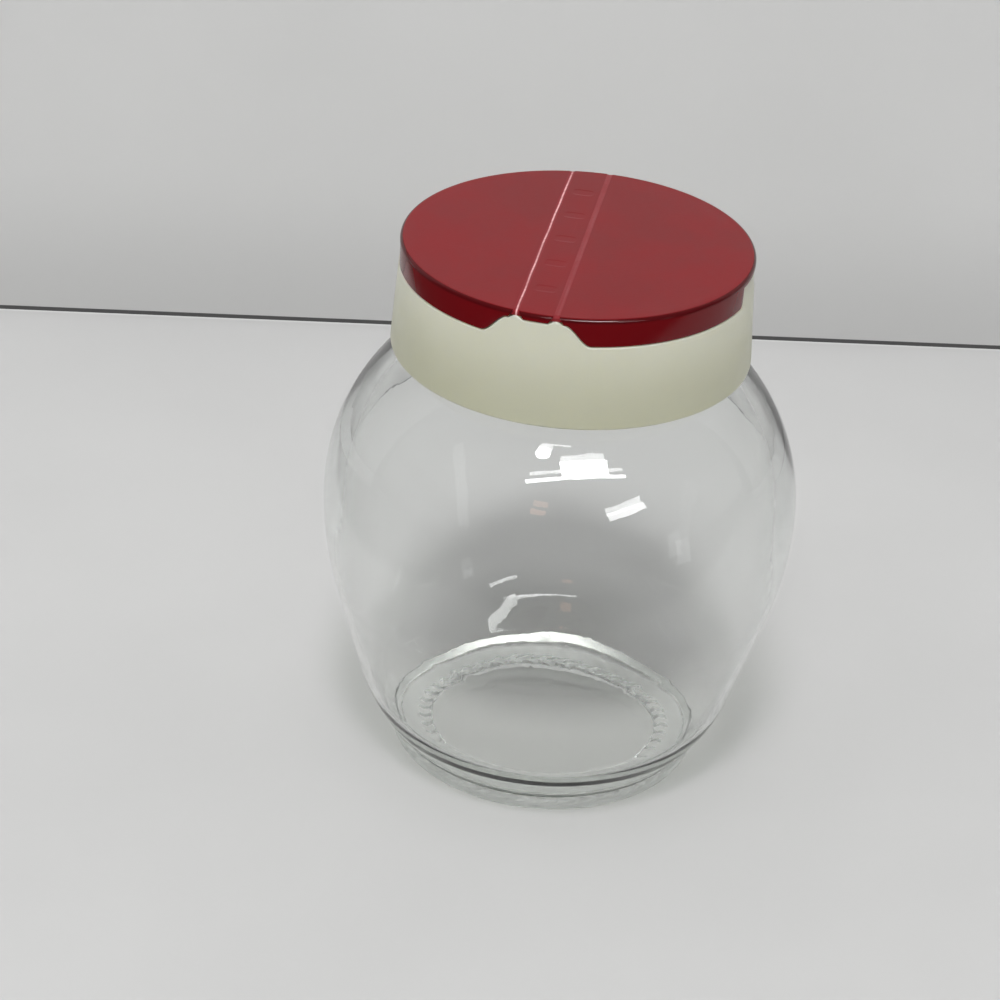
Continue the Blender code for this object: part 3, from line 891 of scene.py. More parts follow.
@dataclass(frozen=True)
class JarGlass:
    """The glass jar: one closed skin, up the inside, over the rim and down the outside."""

    belly_radius: float = 48.7 * MM
    belly_height: float = 57.0 * MM
    shoulder_arc: float = 43.0 * MM
    belly_arc: float = 70.0 * MM
    flank_angle: float = math.radians(15.5)
    heel_height: float = 18.0 * MM
    heel_arc: float = 34.0 * MM
    foot_height: float = 4.6 * MM
    foot_step: float = 0.6 * MM
    foot_fillet: float = 1.2 * MM
    bearing_inner: float = 27.7 * MM
    knurl_inner: float = 24.4 * MM
    knurl_rise: float = 0.35 * MM
    push_up_edge: float = 0.95 * MM
    push_up: float = 1.6 * MM
    neck_radius: float = 30.2 * MM
    neck_height: float = 15.4 * MM
    neck_fillet: float = 2.5 * MM
    neck_wall: float = 2.4 * MM
    neck_bead: float = 0.9 * MM
    bead_height: float = 2.2 * MM
    rim_fillet: float = 0.8 * MM
    wall: float = 2.2 * MM
    base_thickness: float = 2.6 * MM
    inner_heel_radius: float = 17.0 * MM
    axis_gap: float = 1.5 * MM
    bead_run: float = 1.6
    bead_rounds: Pair = (0.5 * MM, 0.6 * MM)
    foot_lip: Pair = (0.3 * MM, 0.8 * MM)
    foot_lip_round: float = 1.0 * MM
    knurl_edge: float = 0.3 * MM
    knurl_edge_round: float = 0.25 * MM
    push_up_flat: float = 4.0 * MM
    push_up_round: float = 1.0 * MM
    swell: float = 1.9 * MM
    swell_band: Band = Band(21.0 * MM, 43.0 * MM, 100.0 * MM, 8.0 * MM)
    waver_depth: float = 0.065 * MM
    waver_band: Band = Band(12.0 * MM, 20.0 * MM, 93.0 * MM, 20.0 * MM)
    waver_waves: tuple[Wave, ...] = (
        Wave(0.55, 2.0, 0.7, 38.0),
        Wave(0.35, 3.0, -2.1, -85.0),
        Wave(0.22, 5.0, 1.9, 160.0),
        Wave(0.12, 9.0, -0.4, 260.0),
    )
    ripple_depth: float = 0.035 * MM
    ripple_band: Band = Band(6.0 * MM, 12.0 * MM, 92.5 * MM, 8.0 * MM)
    ripple_waves: tuple[Wave, ...] = (
        Wave(1.0, 4.0, 0.4, 120.0),
        Wave(0.7, 7.0, -1.3, -210.0),
        Wave(0.5, 11.0, 2.6, 330.0),
    )
    thread: ThreadForm = ThreadForm(low=THREAD_LOW, start_turn=0.0, turns=1.25)
    segments: int = 392
    neck_steps: int = 44
    sharp_angle: float = 75.0

    @property
    def shoulder_centre(self) -> float:
        """Radius at which the shoulder's arc has its centre."""
        return self.belly_radius - self.shoulder_arc

    @property
    def neck_root(self) -> float:
        """Height at which the neck starts, above its fillet to the shoulder."""
        reach = self.neck_radius + self.neck_fillet - self.shoulder_centre
        return self.belly_height + math.sqrt((self.shoulder_arc + self.neck_fillet) ** 2 - reach**2)

    @property
    def rim_top(self) -> float:
        """Height of the glass rim."""
        return self.neck_root + self.neck_height

    @property
    def bore(self) -> float:
        """Inner radius of the neck."""
        return self.neck_radius - self.neck_wall

    def shoulder_height(self, radius: float) -> float:
        """Height of the shoulder's outer face at a radius."""
        reach = radius - self.shoulder_centre
        return self.belly_height + math.sqrt(self.shoulder_arc**2 - reach**2)

    def heel_radius(self) -> float:
        """Outer radius where the straight flank ends.

        Returns:
            The radius.
        """
        sine, cosine = math.sin(self.flank_angle), math.cos(self.flank_angle)
        drop = self.belly_height - self.belly_arc * sine - self.heel_height
        return self.belly_radius - self.belly_arc * (1.0 - cosine) - drop * sine / cosine

    def inside(self) -> Array:
        """Inner profile from beside the axis up to the bore, as tangent arcs.

        Returns:
            Points as (radius, height).
        """
        cosine, tangent = math.cos(self.flank_angle), math.tan(self.flank_angle)
        floor = self.push_up + self.base_thickness
        level = floor + self.inner_heel_radius
        heel = self.heel_radius() - self.wall / cosine + (level - self.heel_height) * tangent
        heel -= self.inner_heel_radius / cosine
        belly = (self.belly_radius - self.belly_arc, self.belly_height)
        shoulder = (self.shoulder_centre, self.belly_height)
        arc_in = self.shoulder_arc - self.wall
        turn = self.neck_fillet + self.neck_wall
        rise = math.sqrt((arc_in + turn) ** 2 - (self.bore + turn - self.shoulder_centre) ** 2)
        fillet = (self.bore + turn, self.belly_height + rise)
        meet = math.atan2(rise, fillet[0] - self.shoulder_centre)
        runs = [
            line((self.axis_gap, floor), (heel, floor), 6)[:-1],
            arc((heel, level), self.inner_heel_radius, -math.pi / 2, -self.flank_angle, 16),
            arc(belly, self.belly_arc - self.wall, -self.flank_angle, 0.0, 14),
            arc(shoulder, arc_in, 0.0, meet, 26)[1:],
            arc(fillet, turn, math.pi + meet, math.pi, 8)[1:],
        ]
        return np.concatenate(runs)

    def rim(self) -> Array:
        """Rounded rim, from the bore over the top to the outer side.

        Returns:
            Points as (radius, height).
        """
        height = self.rim_top - self.rim_fillet
        inner = (self.bore + self.rim_fillet, height)
        outer = (self.neck_radius - self.rim_fillet, height)
        return np.concatenate(
            [
                arc(inner, self.rim_fillet, math.pi, math.pi / 2, 6),
                arc(outer, self.rim_fillet, math.pi / 2, 0.0, 6),
            ]
        )

    def outside(self) -> Array:
        """Outer profile from under the rim down to beside the axis under the base.

        Returns:
            Points as (radius, height).
        """
        bead = self.neck_root + self.bead_height
        bead_top = (self.neck_radius, bead + self.bead_run * self.neck_bead)
        ridge = self.neck_radius + self.neck_bead
        fillet = (self.neck_radius + self.neck_fillet, self.neck_root)
        shoulder = (self.shoulder_centre, self.belly_height)
        belly = (self.belly_radius - self.belly_arc, self.belly_height)
        meet = math.atan2(fillet[1] - shoulder[1], fillet[0] - shoulder[0])
        heel = (
            self.heel_radius() - self.heel_arc * math.cos(self.flank_angle),
            self.heel_height + self.heel_arc * math.sin(self.flank_angle),
        )
        heel_end = -math.asin((heel[1] - self.foot_height) / self.heel_arc)
        foot = heel[0] + self.heel_arc * math.cos(heel_end) - self.foot_step
        bead_fillet, bead_round = self.bead_rounds
        bead_section = rounded(
            [
                (*bead_top, 0.0),
                (self.neck_radius, bead + self.neck_bead, bead_fillet),
                (ridge, bead, bead_round),
                (ridge, bead - self.neck_bead, bead_round),
                (self.neck_radius, self.neck_root, 0.0),
            ]
        )
        lip_rise, lip_drop = self.foot_lip
        base = rounded(
            [
                (foot + self.foot_step, self.foot_height + lip_rise, 0.0),
                (foot, self.foot_height - lip_drop, self.foot_lip_round),
                (foot, 0.0, self.foot_fillet),
                (self.bearing_inner, 0.0, 0.0),
            ],
            7,
        )
        knurl = line((self.bearing_inner, 0.0), (self.knurl_inner, 0.0), 8)[1:]
        knurl[:, 1] = self.knurl_rise * smooth(np.arange(1, 9) / 8.0)
        centre = rounded(
            [
                (self.knurl_inner, self.knurl_rise, 0.0),
                (self.knurl_inner - self.knurl_edge, self.push_up_edge, self.knurl_edge_round),
                (self.push_up_flat, self.push_up, self.push_up_round),
                (self.axis_gap, self.push_up, 0.0),
            ]
        )
        neck_top = (self.neck_radius, self.rim_top - self.rim_fillet)
        runs = [
            line(neck_top, bead_top, self.neck_steps)[1:],
            bead_section[1:],
            arc(fillet, self.neck_fillet, math.pi, math.pi + meet, 8)[1:],
            arc(shoulder, self.shoulder_arc, meet, 0.0, 30)[1:],
            arc(belly, self.belly_arc, 0.0, -self.flank_angle, 14)[1:],
            arc(heel, self.heel_arc, -self.flank_angle, heel_end, 14),
            base[1:],
            knurl,
            centre[1:],
        ]
        return np.concatenate(runs)

    def waver(self, angle: Array, z: Array) -> Array:
        """Uneven inner wall, as blown glass has: a few slow sines of the angle and the height.

        Args:
            angle: Angles round the axis.
            z: Heights, as a column.

        Returns:
            Radial shift in metres, level at the floor and in the neck. The wall is also thicker
            by the swell over the upper belly.
        """
        waves = sum(wave.at(angle, z) for wave in self.waver_waves)
        thick = self.swell * self.swell_band.share(z)
        return self.waver_depth * self.waver_band.share(z) * waves - thick

    def ripple(self, angle: Array, z: Array) -> Array:
        """How far the outer wall falls short of its true round, as a few sines of angle and height.

        Args:
            angle: Angles round the axis.
            z: Heights, as a column.

        Returns:
            Inward shift in metres, 0 at the foot and on the neck.
        """
        waves = sum(wave.at(angle, z) for wave in self.ripple_waves)
        most = sum(wave.share for wave in self.ripple_waves)
        return self.ripple_depth * self.ripple_band.share(z) * (1.0 + waves / most)

    def make(self) -> Piece:
        """Build the jar's glass.

        Returns:
            The piece, which stands for the CAD node of the jar.
        """
        inside, rim, outside = self.inside(), self.rim(), self.outside()
        profile = np.concatenate([inside, rim, outside])
        angle = full_turn(self.segments)[None, :]
        radius, height = profile[:, :1] + 0.0 * angle, profile[:, 1:] + 0.0 * angle
        inner, rim_end = len(inside), len(inside) + len(rim)
        neck = slice(rim_end, rim_end + self.neck_steps)
        wall = slice(neck.stop, len(profile))
        radius[:inner] += self.waver(angle, profile[:inner, 1:])
        radius[neck] += self.thread.lift(angle, profile[neck, 1:])
        radius[wall] -= self.ripple(angle, profile[wall, 1:])
        grid = np.stack((radius * np.cos(angle), radius * np.sin(angle), height), axis=-1)
        skin = Skin()
        first = skin.grid(grid, wrap_columns=True)
        ring = list(range(first, first + self.segments))
        last = [index + self.segments * (len(profile) - 1) for index in ring]
        skin.fan(ring, np.array((0.0, 0.0, profile[0, 1])))
        skin.fan(last, np.array((0.0, 0.0, profile[-1, 1])))
        return skin.build("jar_clear_glass", self.sharp_angle)


# The cap


@dataclass(frozen=True)
class CapSizes:
    """Sizes that the collar and the red top share, worked out from the jar's."""

    jar: JarGlass = JarGlass()
    gap: float = 0.3 * MM
    thread_room: float = 1.7 * MM
    seal_thickness: float = 0.8 * MM
    seal_overhang: float = 1.0 * MM
    collar_wall: float = 1.3 * MM
    skirt_wall: float = 1.4 * MM
    deck_thickness: float = 1.4 * MM
    deck_sink: float = 0.9 * MM
    slab_thickness: float = 1.5 * MM
    skirt_depth: float = 5.6 * MM
    strip_offset: float = -2.6 * MM
    strip_width: float = 7.7 * MM
    groove_half: float = 0.55 * MM
    groove_splay: float = 1.0 * MM
    foot_width: float = 21.5 * MM
    head_width: float = 11.0 * MM
    thumb_half: float = 9.2 * MM
    show_gap: float = 0.12 * MM
    plug_clearance: float = 0.4 * MM
    plug_depth: float = 2.2 * MM

    @property
    def bore(self) -> float:
        """Inner radius of the collar."""
        return self.jar.neck_radius + self.thread_room

    @property
    def rebate(self) -> float:
        """Radius of the step that the flap skirts sit round."""
        return self.bore + self.collar_wall

    @property
    def lid_radius(self) -> float:
        """Outer radius of the red top."""
        return self.rebate + self.gap + self.skirt_wall

    @property
    def seal_bottom(self) -> float:
        """Height of the seal's underside."""
        return self.jar.rim_top + self.gap

    @property
    def deck_bottom(self) -> float:
        """Height of the deck's underside."""
        return self.seal_bottom + self.seal_thickness + self.gap

    @property
    def deck_top(self) -> float:
        """Height of the deck's upper face."""
        return self.deck_bottom + self.deck_thickness

    @property
    def deck_rim(self) -> float:
        """Height of the raised edge round the deck."""
        return self.deck_top + self.deck_sink

    @property
    def slab_bottom(self) -> float:
        """Height of the underside of the red top's plate."""
        return self.deck_rim + self.gap

    @property
    def slab_top(self) -> float:
        """Height of the red top's upper face."""
        return self.slab_bottom + self.slab_thickness

    @property
    def skirt_bottom(self) -> float:
        """Height of the lower edge of the flap skirts."""
        return self.slab_top - self.skirt_depth

    @property
    def show_ledge(self) -> float:
        """Height of the ledge as it is shown, close under the skirts."""
        return self.skirt_bottom - self.show_gap

    def hinge_x(self, side: Side) -> float:
        """X of a hinge line."""
        return self.strip_offset + side.value * self.strip_width / 2.0

    def notch_share(self, x: Array, inset: float) -> Array:
        """Height of the skirt notch's edge at an x, as the share of the way from foot to head.

        The share is smoothstep of the way in, from the foot's half width to the head's.

        Args:
            x: Distances along X from the jar's axis.
            inset: How far the edge is drawn in.

        Returns:
            Shares from 0 at the foot to 1 at the head.
        """
        off = np.abs(x - self.strip_offset) + inset
        wide, narrow = self.foot_width / 2.0, self.head_width / 2.0
        return smooth((wide - off) / (wide - narrow))


@dataclass(frozen=True)
class ScrewCollar:
    """Cream collar with its deck, spoon opening, shaker holes, tabs and inner thread."""

    sizes: CapSizes = CapSizes()
    flare: float = 1.1 * MM
    ledge_out: float = 0.1 * MM
    edge_wall: float = 2.2 * MM
    foot_round: float = 0.55 * MM
    edge_round: float = 0.3 * MM
    lead_in: float = 3.4 * MM
    shoulder_clearance: float = 2.4 * MM
    rim_start: float = 0.4 * MM
    rim_round: float = 0.35 * MM
    rim_drop: float = 0.2 * MM
    touch: float = 0.02 * MM
    sunk: float = 0.3 * MM
    land_depth: float = 3.0 * MM
    land_wall: float = 1.0 * MM
    land_round: float = 0.3 * MM
    land_taper: Pair = (0.35 * MM, 0.7 * MM)
    rib_drop: float = 0.1 * MM
    rib_round: float = 0.25 * MM
    rib_reach: float = 0.4 * MM
    chord_offset: float = 3.0 * MM
    opening_radius: float = 24.5 * MM
    opening_corner: float = 3.5 * MM
    hole_radius: float = 2.3 * MM
    hole_round: float = 0.22 * MM
    hole_margin: float = 0.35 * MM
    outer_row: float = 21.0 * MM
    inner_row: float = 13.5 * MM
    outer_angles: tuple[float, ...] = (-45.0, -15.0, 15.0, 45.0)
    inner_angles: tuple[float, ...] = (-32.0, 0.0, 32.0)
    thread: ThreadForm = ThreadForm(
        low=THREAD_LOW - 2.115 * MM, start_turn=0.1, turns=1.0, half_width=0.9 * MM
    )
    ridge_height: float = 0.72 * MM
    ridge_half: float = 1.7 * MM
    scoop_depth: float = 0.5 * MM
    tab_reach: float = 14.5 * MM
    raise_fade: float = 0.6 * MM
    thumb_fade: float = 0.9 * MM
    thumb_sine: float = 0.5
    near_steps: int = 180
    far_steps: int = 120
    rim_steps: int = 128
    hole_steps: int = 36
    sharp_angle: float = 38.0

    @property
    def ledge_radius(self) -> float:
        """Outer radius of the ledge under the skirts of the red top."""
        return self.sizes.lid_radius + self.ledge_out

    @property
    def foot_inner(self) -> float:
        """Inner radius of the collar's lower edge."""
        return self.ledge_radius + self.flare - self.edge_wall

    @property
    def foot(self) -> float:
        """Height of the collar's lower edge."""
        return self.sizes.jar.shoulder_height(self.foot_inner) + self.shoulder_clearance

    def tab_top(self, x: Array) -> Array:
        """Height of the collar's upper outer edge at an x.

        It is the ledge, raised along the S-curve of the notch to the tab, with one small rounded
        ridge in the open end of each hinge groove. It stands close under the red edge, nearer
        than the CAD's fit gap, as the photograph shows no dark line there.

        Args:
            x: Distances along X, near the tabs.

        Returns:
            Heights in metres.
        """
        sizes = self.sizes
        low, high = sizes.show_ledge, sizes.slab_bottom - sizes.show_gap
        height = low + (high - low) * sizes.notch_share(x, sizes.show_gap)
        for side in Side:
            off = np.abs(x - sizes.hinge_x(side))
            height += self.ridge_height * (1.0 - smooth(off / self.ridge_half))
        return height

    def thumb_top(self, y: Array) -> Array:
        """Height of the collar's upper outer edge inside the thumb notches.

        Args:
            y: Distances along Y.

        Returns:
            Heights in metres.
        """
        sizes = self.sizes
        low, high = sizes.show_ledge, sizes.slab_bottom - sizes.show_gap
        way = (sizes.thumb_half - sizes.gap - np.abs(y)) / self.thumb_fade
        return low + (high - low) * smooth(way)

    def angles(self) -> Array:
        """Angles round the collar, close together where the tabs are.

        Returns:
            The angles, once round.
        """
        dense = math.asin(self.tab_reach / self.sizes.lid_radius)
        near = np.linspace(-dense, dense, self.near_steps)
        far = np.linspace(dense, math.pi - dense, self.far_steps)[1:-1]
        half = np.concatenate([near, far])
        return np.concatenate([half, half + math.pi]) - math.pi / 2

    def wall_section(self, edge: Array, angle: Array) -> Array:
        """Closed section of the collar's wall at every angle, as rows of (radius, height).

        Args:
            edge: Height of the upper outer edge at each angle.
            angle: The angles.

        Returns:
            Array of section points by angles by two.
        """
        sizes, soft = self.sizes, self.edge_round
        rebate, bore, ledge = sizes.rebate, sizes.bore, self.ledge_radius
        outer = rounded(
            [
                (self.foot_inner, self.foot, 0.0),
                (ledge + self.flare, self.foot, self.foot_round),
                (ledge, sizes.show_ledge - soft, 0.0),
            ],
            6,
        )
        raised = smooth((edge - sizes.show_ledge) / self.raise_fade)
        in_notch = raised * (np.abs(np.sin(angle)) < self.thumb_sine)
        shoulder = ledge - self.ledge_out * raised - self.scoop_depth * in_notch
        over = [
            np.column_stack((shoulder - soft + soft * math.cos(a), edge - soft + soft * math.sin(a)))
            for a in np.linspace(0.0, math.pi / 2, 6)
        ]
        inward = [
            np.column_stack((rebate + share * (shoulder - soft - rebate), edge))
            for share in (0.5, 0.0)
        ]
        rim = rounded(
            [
                (rebate, sizes.show_ledge + self.rim_start, 0.0),
                (rebate, sizes.deck_rim, self.rim_round),
                (bore, sizes.deck_rim, self.rim_round),
                (bore, sizes.deck_top - self.rim_drop, 0.0),
            ],
            5,
        )
        rim_grid = all_round(rim, len(angle))
        climb = rim_grid[:, :, 1]
        above_edge = np.clip(climb, np.minimum(edge, sizes.deck_rim)[None, :], None)
        rim_grid[:, :, 1] = np.where(rim_grid[:, :, 0] > rebate - self.touch, above_edge, climb)
        thread = line((bore, sizes.deck_bottom), (bore, self.foot + self.lead_in), 60)
        thread_grid = all_round(thread, len(angle))
        thread_grid[:, :, 0] -= self.thread.lift(angle[None, :], thread[:, 1:])
        lead = np.array([(bore, self.foot + self.lead_in), (self.foot_inner, self.foot)])
        fixed, lead_grid = all_round(outer, len(angle)), all_round(lead, len(angle))
        return np.concatenate(
            [fixed, np.array(over), np.array(inward), rim_grid, thread_grid, lead_grid]
        )

    def add_wall(self, skin: Skin) -> None:
        """Add the collar's wall, tabs and thread.

        Args:
            skin: The collar's skin.
        """
        angle = self.angles()
        x, y = self.sizes.lid_radius * np.cos(angle), self.sizes.lid_radius * np.sin(angle)
        section = self.wall_section(np.maximum(self.tab_top(x), self.thumb_top(y)), angle)
        radius, height = section[:, :, 0], section[:, :, 1]
        grid = np.stack((radius * np.cos(angle), radius * np.sin(angle), height), axis=-1)
        skin.grid(grid, wrap_rows=True, wrap_columns=True)

    def opening(self, inset: float) -> Array:
        """D-shaped outline of the spoon opening, with rounded corners.

        Args:
            inset: How far the outline is drawn in.

        Returns:
            Points, one row each.
        """
        chord = self.sizes.hinge_x(Side.SPOON) + self.chord_offset + inset
        radius = self.opening_radius - inset
        corner = max(self.opening_corner - inset, self.opening_corner / 4.0)
        x = chord + corner
        y = math.sqrt((radius - corner) ** 2 - x * x)
        turn = math.atan2(y, x)
        return np.concatenate(
            [
                arc((x, -y), corner, -math.pi, -turn, 10),
                arc((0.0, 0.0), radius, -turn, turn, 48)[1:-1],
                arc((x, y), corner, turn, math.pi, 10),
                line((chord, y), (chord, -y), 16)[1:-1],
            ]
        )

    def hole(self, place: Pair, inset: float) -> Array:
        """Round outline of a shaker hole, drawn in by an inset."""
        return circle(place, self.hole_radius - inset, self.hole_steps)

    def hole_places(self) -> list[Pair]:
        """Centres of the shaker holes.

        Returns:
            Places as (x, y).
        """
        rows = [(self.outer_row, angle) for angle in self.outer_angles]
        rows += [(self.inner_row, angle) for angle in self.inner_angles]
        return [
            (-radius * math.cos(math.radians(a)), radius * math.sin(math.radians(a)))
            for radius, a in rows
        ]

    def add_deck(self, skin: Skin) -> None:
        """Add the sifter deck, a plate whose holes have rounded edges.

        Args:
            skin: The collar's skin.
        """
        top, low, soft = self.sizes.deck_top, self.sizes.deck_bottom, self.hole_round
        rows = [(self.hole_margin, top)]
        rows += [
            (soft * (1.0 - math.cos(a)), top - soft * (1.0 - math.sin(a)))
            for a in np.linspace(math.pi / 2, 0.0, 5)
        ]
        rows += [(0.0, (top + low) / 2.0)]
        rows += [(out, top + low - z) for out, z in reversed(rows[:-1])]
        rim = circle((0.0, 0.0), self.sizes.bore + self.touch, self.rim_steps)
        walls = [np.stack([level(rim, z) for z in (top, low)])]
        for outline in (self.opening, *(partial(self.hole, place) for place in self.hole_places())):
            walls.append(np.stack([level(outline(-out), z) for out, z in rows]))
        upper, lower = [], []
        for wall in walls:
            start, (deep, count) = skin.grid(wrap_columns=True, points=wall), wall.shape[:2]
            last = start + count * (deep - 1)
            upper.append(list(range(start, start + count)))
            lower.append(list(range(last, last + count)))
        skin.plane(upper)
        skin.plane(lower)

    def add_rib(self, skin: Skin) -> None:
        """Add the deck's middle rib, which the strip is snapped to.

        Args:
            skin: The collar's skin.
        """
        sizes, soft = self.sizes, self.rib_round
        half = sizes.strip_width / 2.0 - sizes.groove_half - sizes.groove_splay
        low, high = sizes.deck_top - self.sunk, sizes.deck_rim - self.rib_drop
        section = rounded(
            [(-half, low, 0.0), (-half, high, soft), (half, high, soft), (half, low, 0.0)]
        )
        reach = sizes.bore + self.rib_reach
        grid = np.zeros((2, len(section), 3))
        grid[:, :, 0] = section[:, 0] + sizes.strip_offset
        grid[:, :, 1] = np.array((-reach, reach))[:, None]
        grid[:, :, 2] = section[:, 1]
        skin.tube(grid)

    def add_land(self, skin: Skin) -> None:
        """Add the land ring under the deck, which plugs the glass bore.

        Args:
            skin: The collar's skin.
        """
        outer = self.sizes.jar.bore - self.sizes.plug_clearance
        inner, low = outer - self.land_wall, self.sizes.deck_bottom - self.land_depth
        top, soft = self.sizes.deck_bottom + self.sunk, self.land_round
        taper_in, taper_up = self.land_taper
        profile = rounded(
            [
                (inner, top, 0.0),
                (inner, low, soft),
                (outer - taper_in, low, soft),
                (outer, low + taper_up, soft),
                (outer, top, 0.0),
            ]
        )
        spun(skin, profile, full_turn(160))

    def make(self) -> Piece:
        """Build the collar moulding.

        Returns:
            The piece, which stands for the CAD node of the collar.
        """
        skin = Skin()
        self.add_wall(skin)
        self.add_deck(skin)
        self.add_rib(skin)
        self.add_land(skin)
        return skin.build("collar_moulding", self.sharp_angle)


@dataclass(frozen=True)
class SealRing:
    """Thin foam ring between the deck and the glass rim."""

    sizes: CapSizes = CapSizes()
    soft: float = 0.12 * MM

    def make(self) -> Piece:
        """Build the ring.

        Returns:
            The piece, which stands for the CAD node of the seal.
        """
        sizes, soft = self.sizes, self.soft
        inner, outer = sizes.jar.bore, sizes.jar.neck_radius + sizes.seal_overhang
        low, top = sizes.seal_bottom, sizes.seal_bottom + sizes.seal_thickness
        seam = ((inner + outer) / 2.0, low, 0.0)
        corners = [(outer, low, soft), (outer, top, soft), (inner, top, soft), (inner, low, soft)]
        skin = Skin()
        spun(skin, rounded([seam, *corners, seam], 3), full_turn(160))
        return skin.build("seal_foam_ring")


@dataclass(frozen=True)
class FlapTop:
    """One red flap: plate, rounded rim, notched skirt and splayed hinge edge."""

    side: Side
    sizes: CapSizes = CapSizes()
    rim_round: float = 0.8 * MM
    edge_round: float = 0.22 * MM
    thumb_round: float = 1.0 * MM
    thumb_step: float = 0.0015
    tab_margin: float = 0.02
    skirt_start: float = 0.1 * MM
    plate_shares: tuple[float, ...] = (1.0, 0.985, 0.8, 0.6, 0.4, 0.2, 0.02)
    under_shares: tuple[float, ...] = (0.02, 0.25, 0.5, 0.75, 1.0)
    sharp_angle: float = 44.0

    def hinge_edge(self, z: Array) -> Array:
        """X of the flap's hinge face, which leans away from the hinge line going down.

        Args:
            z: Heights.

        Returns:
            Distances along X.
        """
        sizes = self.sizes
        down = np.clip((sizes.slab_top - z) / sizes.slab_thickness, 0.0, 1.0)
        offset = sizes.groove_half + sizes.groove_splay * down
        return sizes.hinge_x(self.side) + self.side.value * offset

    def path(self) -> tuple[Array, Array]:
        """Angle round the rim, and height of the skirt's lower edge, from end to end.

        Returns:
            Angles measured from the flap's own outer side, and heights.
        """
        sizes = self.sizes
        radius = sizes.lid_radius
        start = math.acos(abs(self.hinge_edge(np.array(sizes.slab_top))) / radius)
        if self.hinge_edge(np.array(sizes.slab_top)) * self.side.value < 0.0:
            start = math.pi - start
        thumb = math.asin(sizes.thumb_half / radius)
        soft = self.thumb_round
        corner = arc((0.0, 0.0), soft, -math.pi / 2, 0.0, 6)
        step_angle = thumb + (soft - corner[:, 0]) / radius
        step_height = sizes.skirt_bottom + soft + corner[:, 1]
        tab_end = sizes.foot_width / 2.0 + abs(sizes.strip_offset)
        dense = math.pi / 2 - math.asin(min(tab_end / radius, 1.0)) - self.tab_margin
        near = np.linspace(start, dense, 120)
        mid = np.linspace(dense, thumb + soft / radius, 30)[1:]
        across = np.linspace(thumb - self.thumb_step, -thumb + self.thumb_step, 24)
        half = np.concatenate([near, mid])
        x = self.side.value * radius * np.cos(half)
        rise = sizes.slab_bottom - sizes.skirt_bottom
        lower = sizes.skirt_bottom + rise * sizes.notch_share(x, 0.0)
        angle = np.concatenate([half, step_angle[1:], across, -step_angle[:0:-1], -half[::-1]])
        height = np.concatenate(
            [
                lower,
                step_height[1:],
                np.full(len(across), sizes.slab_bottom),
                step_height[:0:-1],
                lower[::-1],
            ]
        )
        return angle, height

    def make(self) -> Piece:
        """Build the flap as a closed section carried along its rim.

        A row of the grid lies at one place of the path. It runs from the hinge edge out over the
        plate at a constant y, round the rim, down the skirt to the path's height, back up inside
        and in along the underside.

        Returns:
            The piece, without its plug.
        """
        sizes, soft = self.sizes, self.edge_round
        radius, top, under = sizes.lid_radius, sizes.slab_top, sizes.slab_bottom
        angle, lower = self.path()
        cosine, sine = self.side.value * np.cos(angle), np.sin(angle)
        lower = np.minimum(lower, under)
        columns: list[Array] = []

        def put(distance: Array | float, z: Array | float) -> None:
            """Add a point at a distance from the axis along each rim direction."""
            reach = distance + 0.0 * angle
            columns.append(np.column_stack((reach * cosine, reach * sine, z + 0.0 * angle)))

        def put_inward(share: float, from_radius: float, z: float) -> None:
            """Add a point part of the way from the rim to the hinge face, at a constant y.

            Args:
                share: The part of the way.
                from_radius: Radius that the way starts at.
                z: Height.
            """
            rim_x = from_radius * cosine
            x = rim_x + share * (self.hinge_edge(np.array(z)) - rim_x)
            columns.append(np.column_stack((x, from_radius * sine, z + 0.0 * angle)))

        plate = radius - self.rim_round
        for share in self.plate_shares:
            put_inward(share, plate, top)
        for a in np.linspace(math.pi / 2, 0.0, 9):
            put(plate + self.rim_round * math.cos(a), top - self.rim_round * (1.0 - math.sin(a)))
        middle = np.maximum(lower + soft, under + self.skirt_start)
        put(radius, (top - self.rim_round + middle) / 2.0)
        for a in np.linspace(0.0, math.pi / 2, 5):
            put(radius - soft + soft * math.cos(a), lower + soft * (1.0 - math.sin(a)))
        inner = radius - sizes.skirt_wall
        for a in np.linspace(math.pi / 2, 0.0, 5):
            rise = np.minimum(lower + soft * (1.0 - math.sin(a)), under)
            put(inner + soft * (1.0 - math.cos(a)), rise)
        put(inner, under)
        for share in self.under_shares:
            put_inward(share, inner, under)
        grid = np.stack(columns, axis=1)
        limit = np.maximum if self.side is Side.SPOON else np.minimum
        grid[:, :, 0] = limit(grid[:, :, 0], self.hinge_edge(grid[:, :, 2]))
        skin = Skin()
        skin.tube(grid)
        return skin.build(f"{self.side.name.lower()}_flap_top", self.sharp_angle)


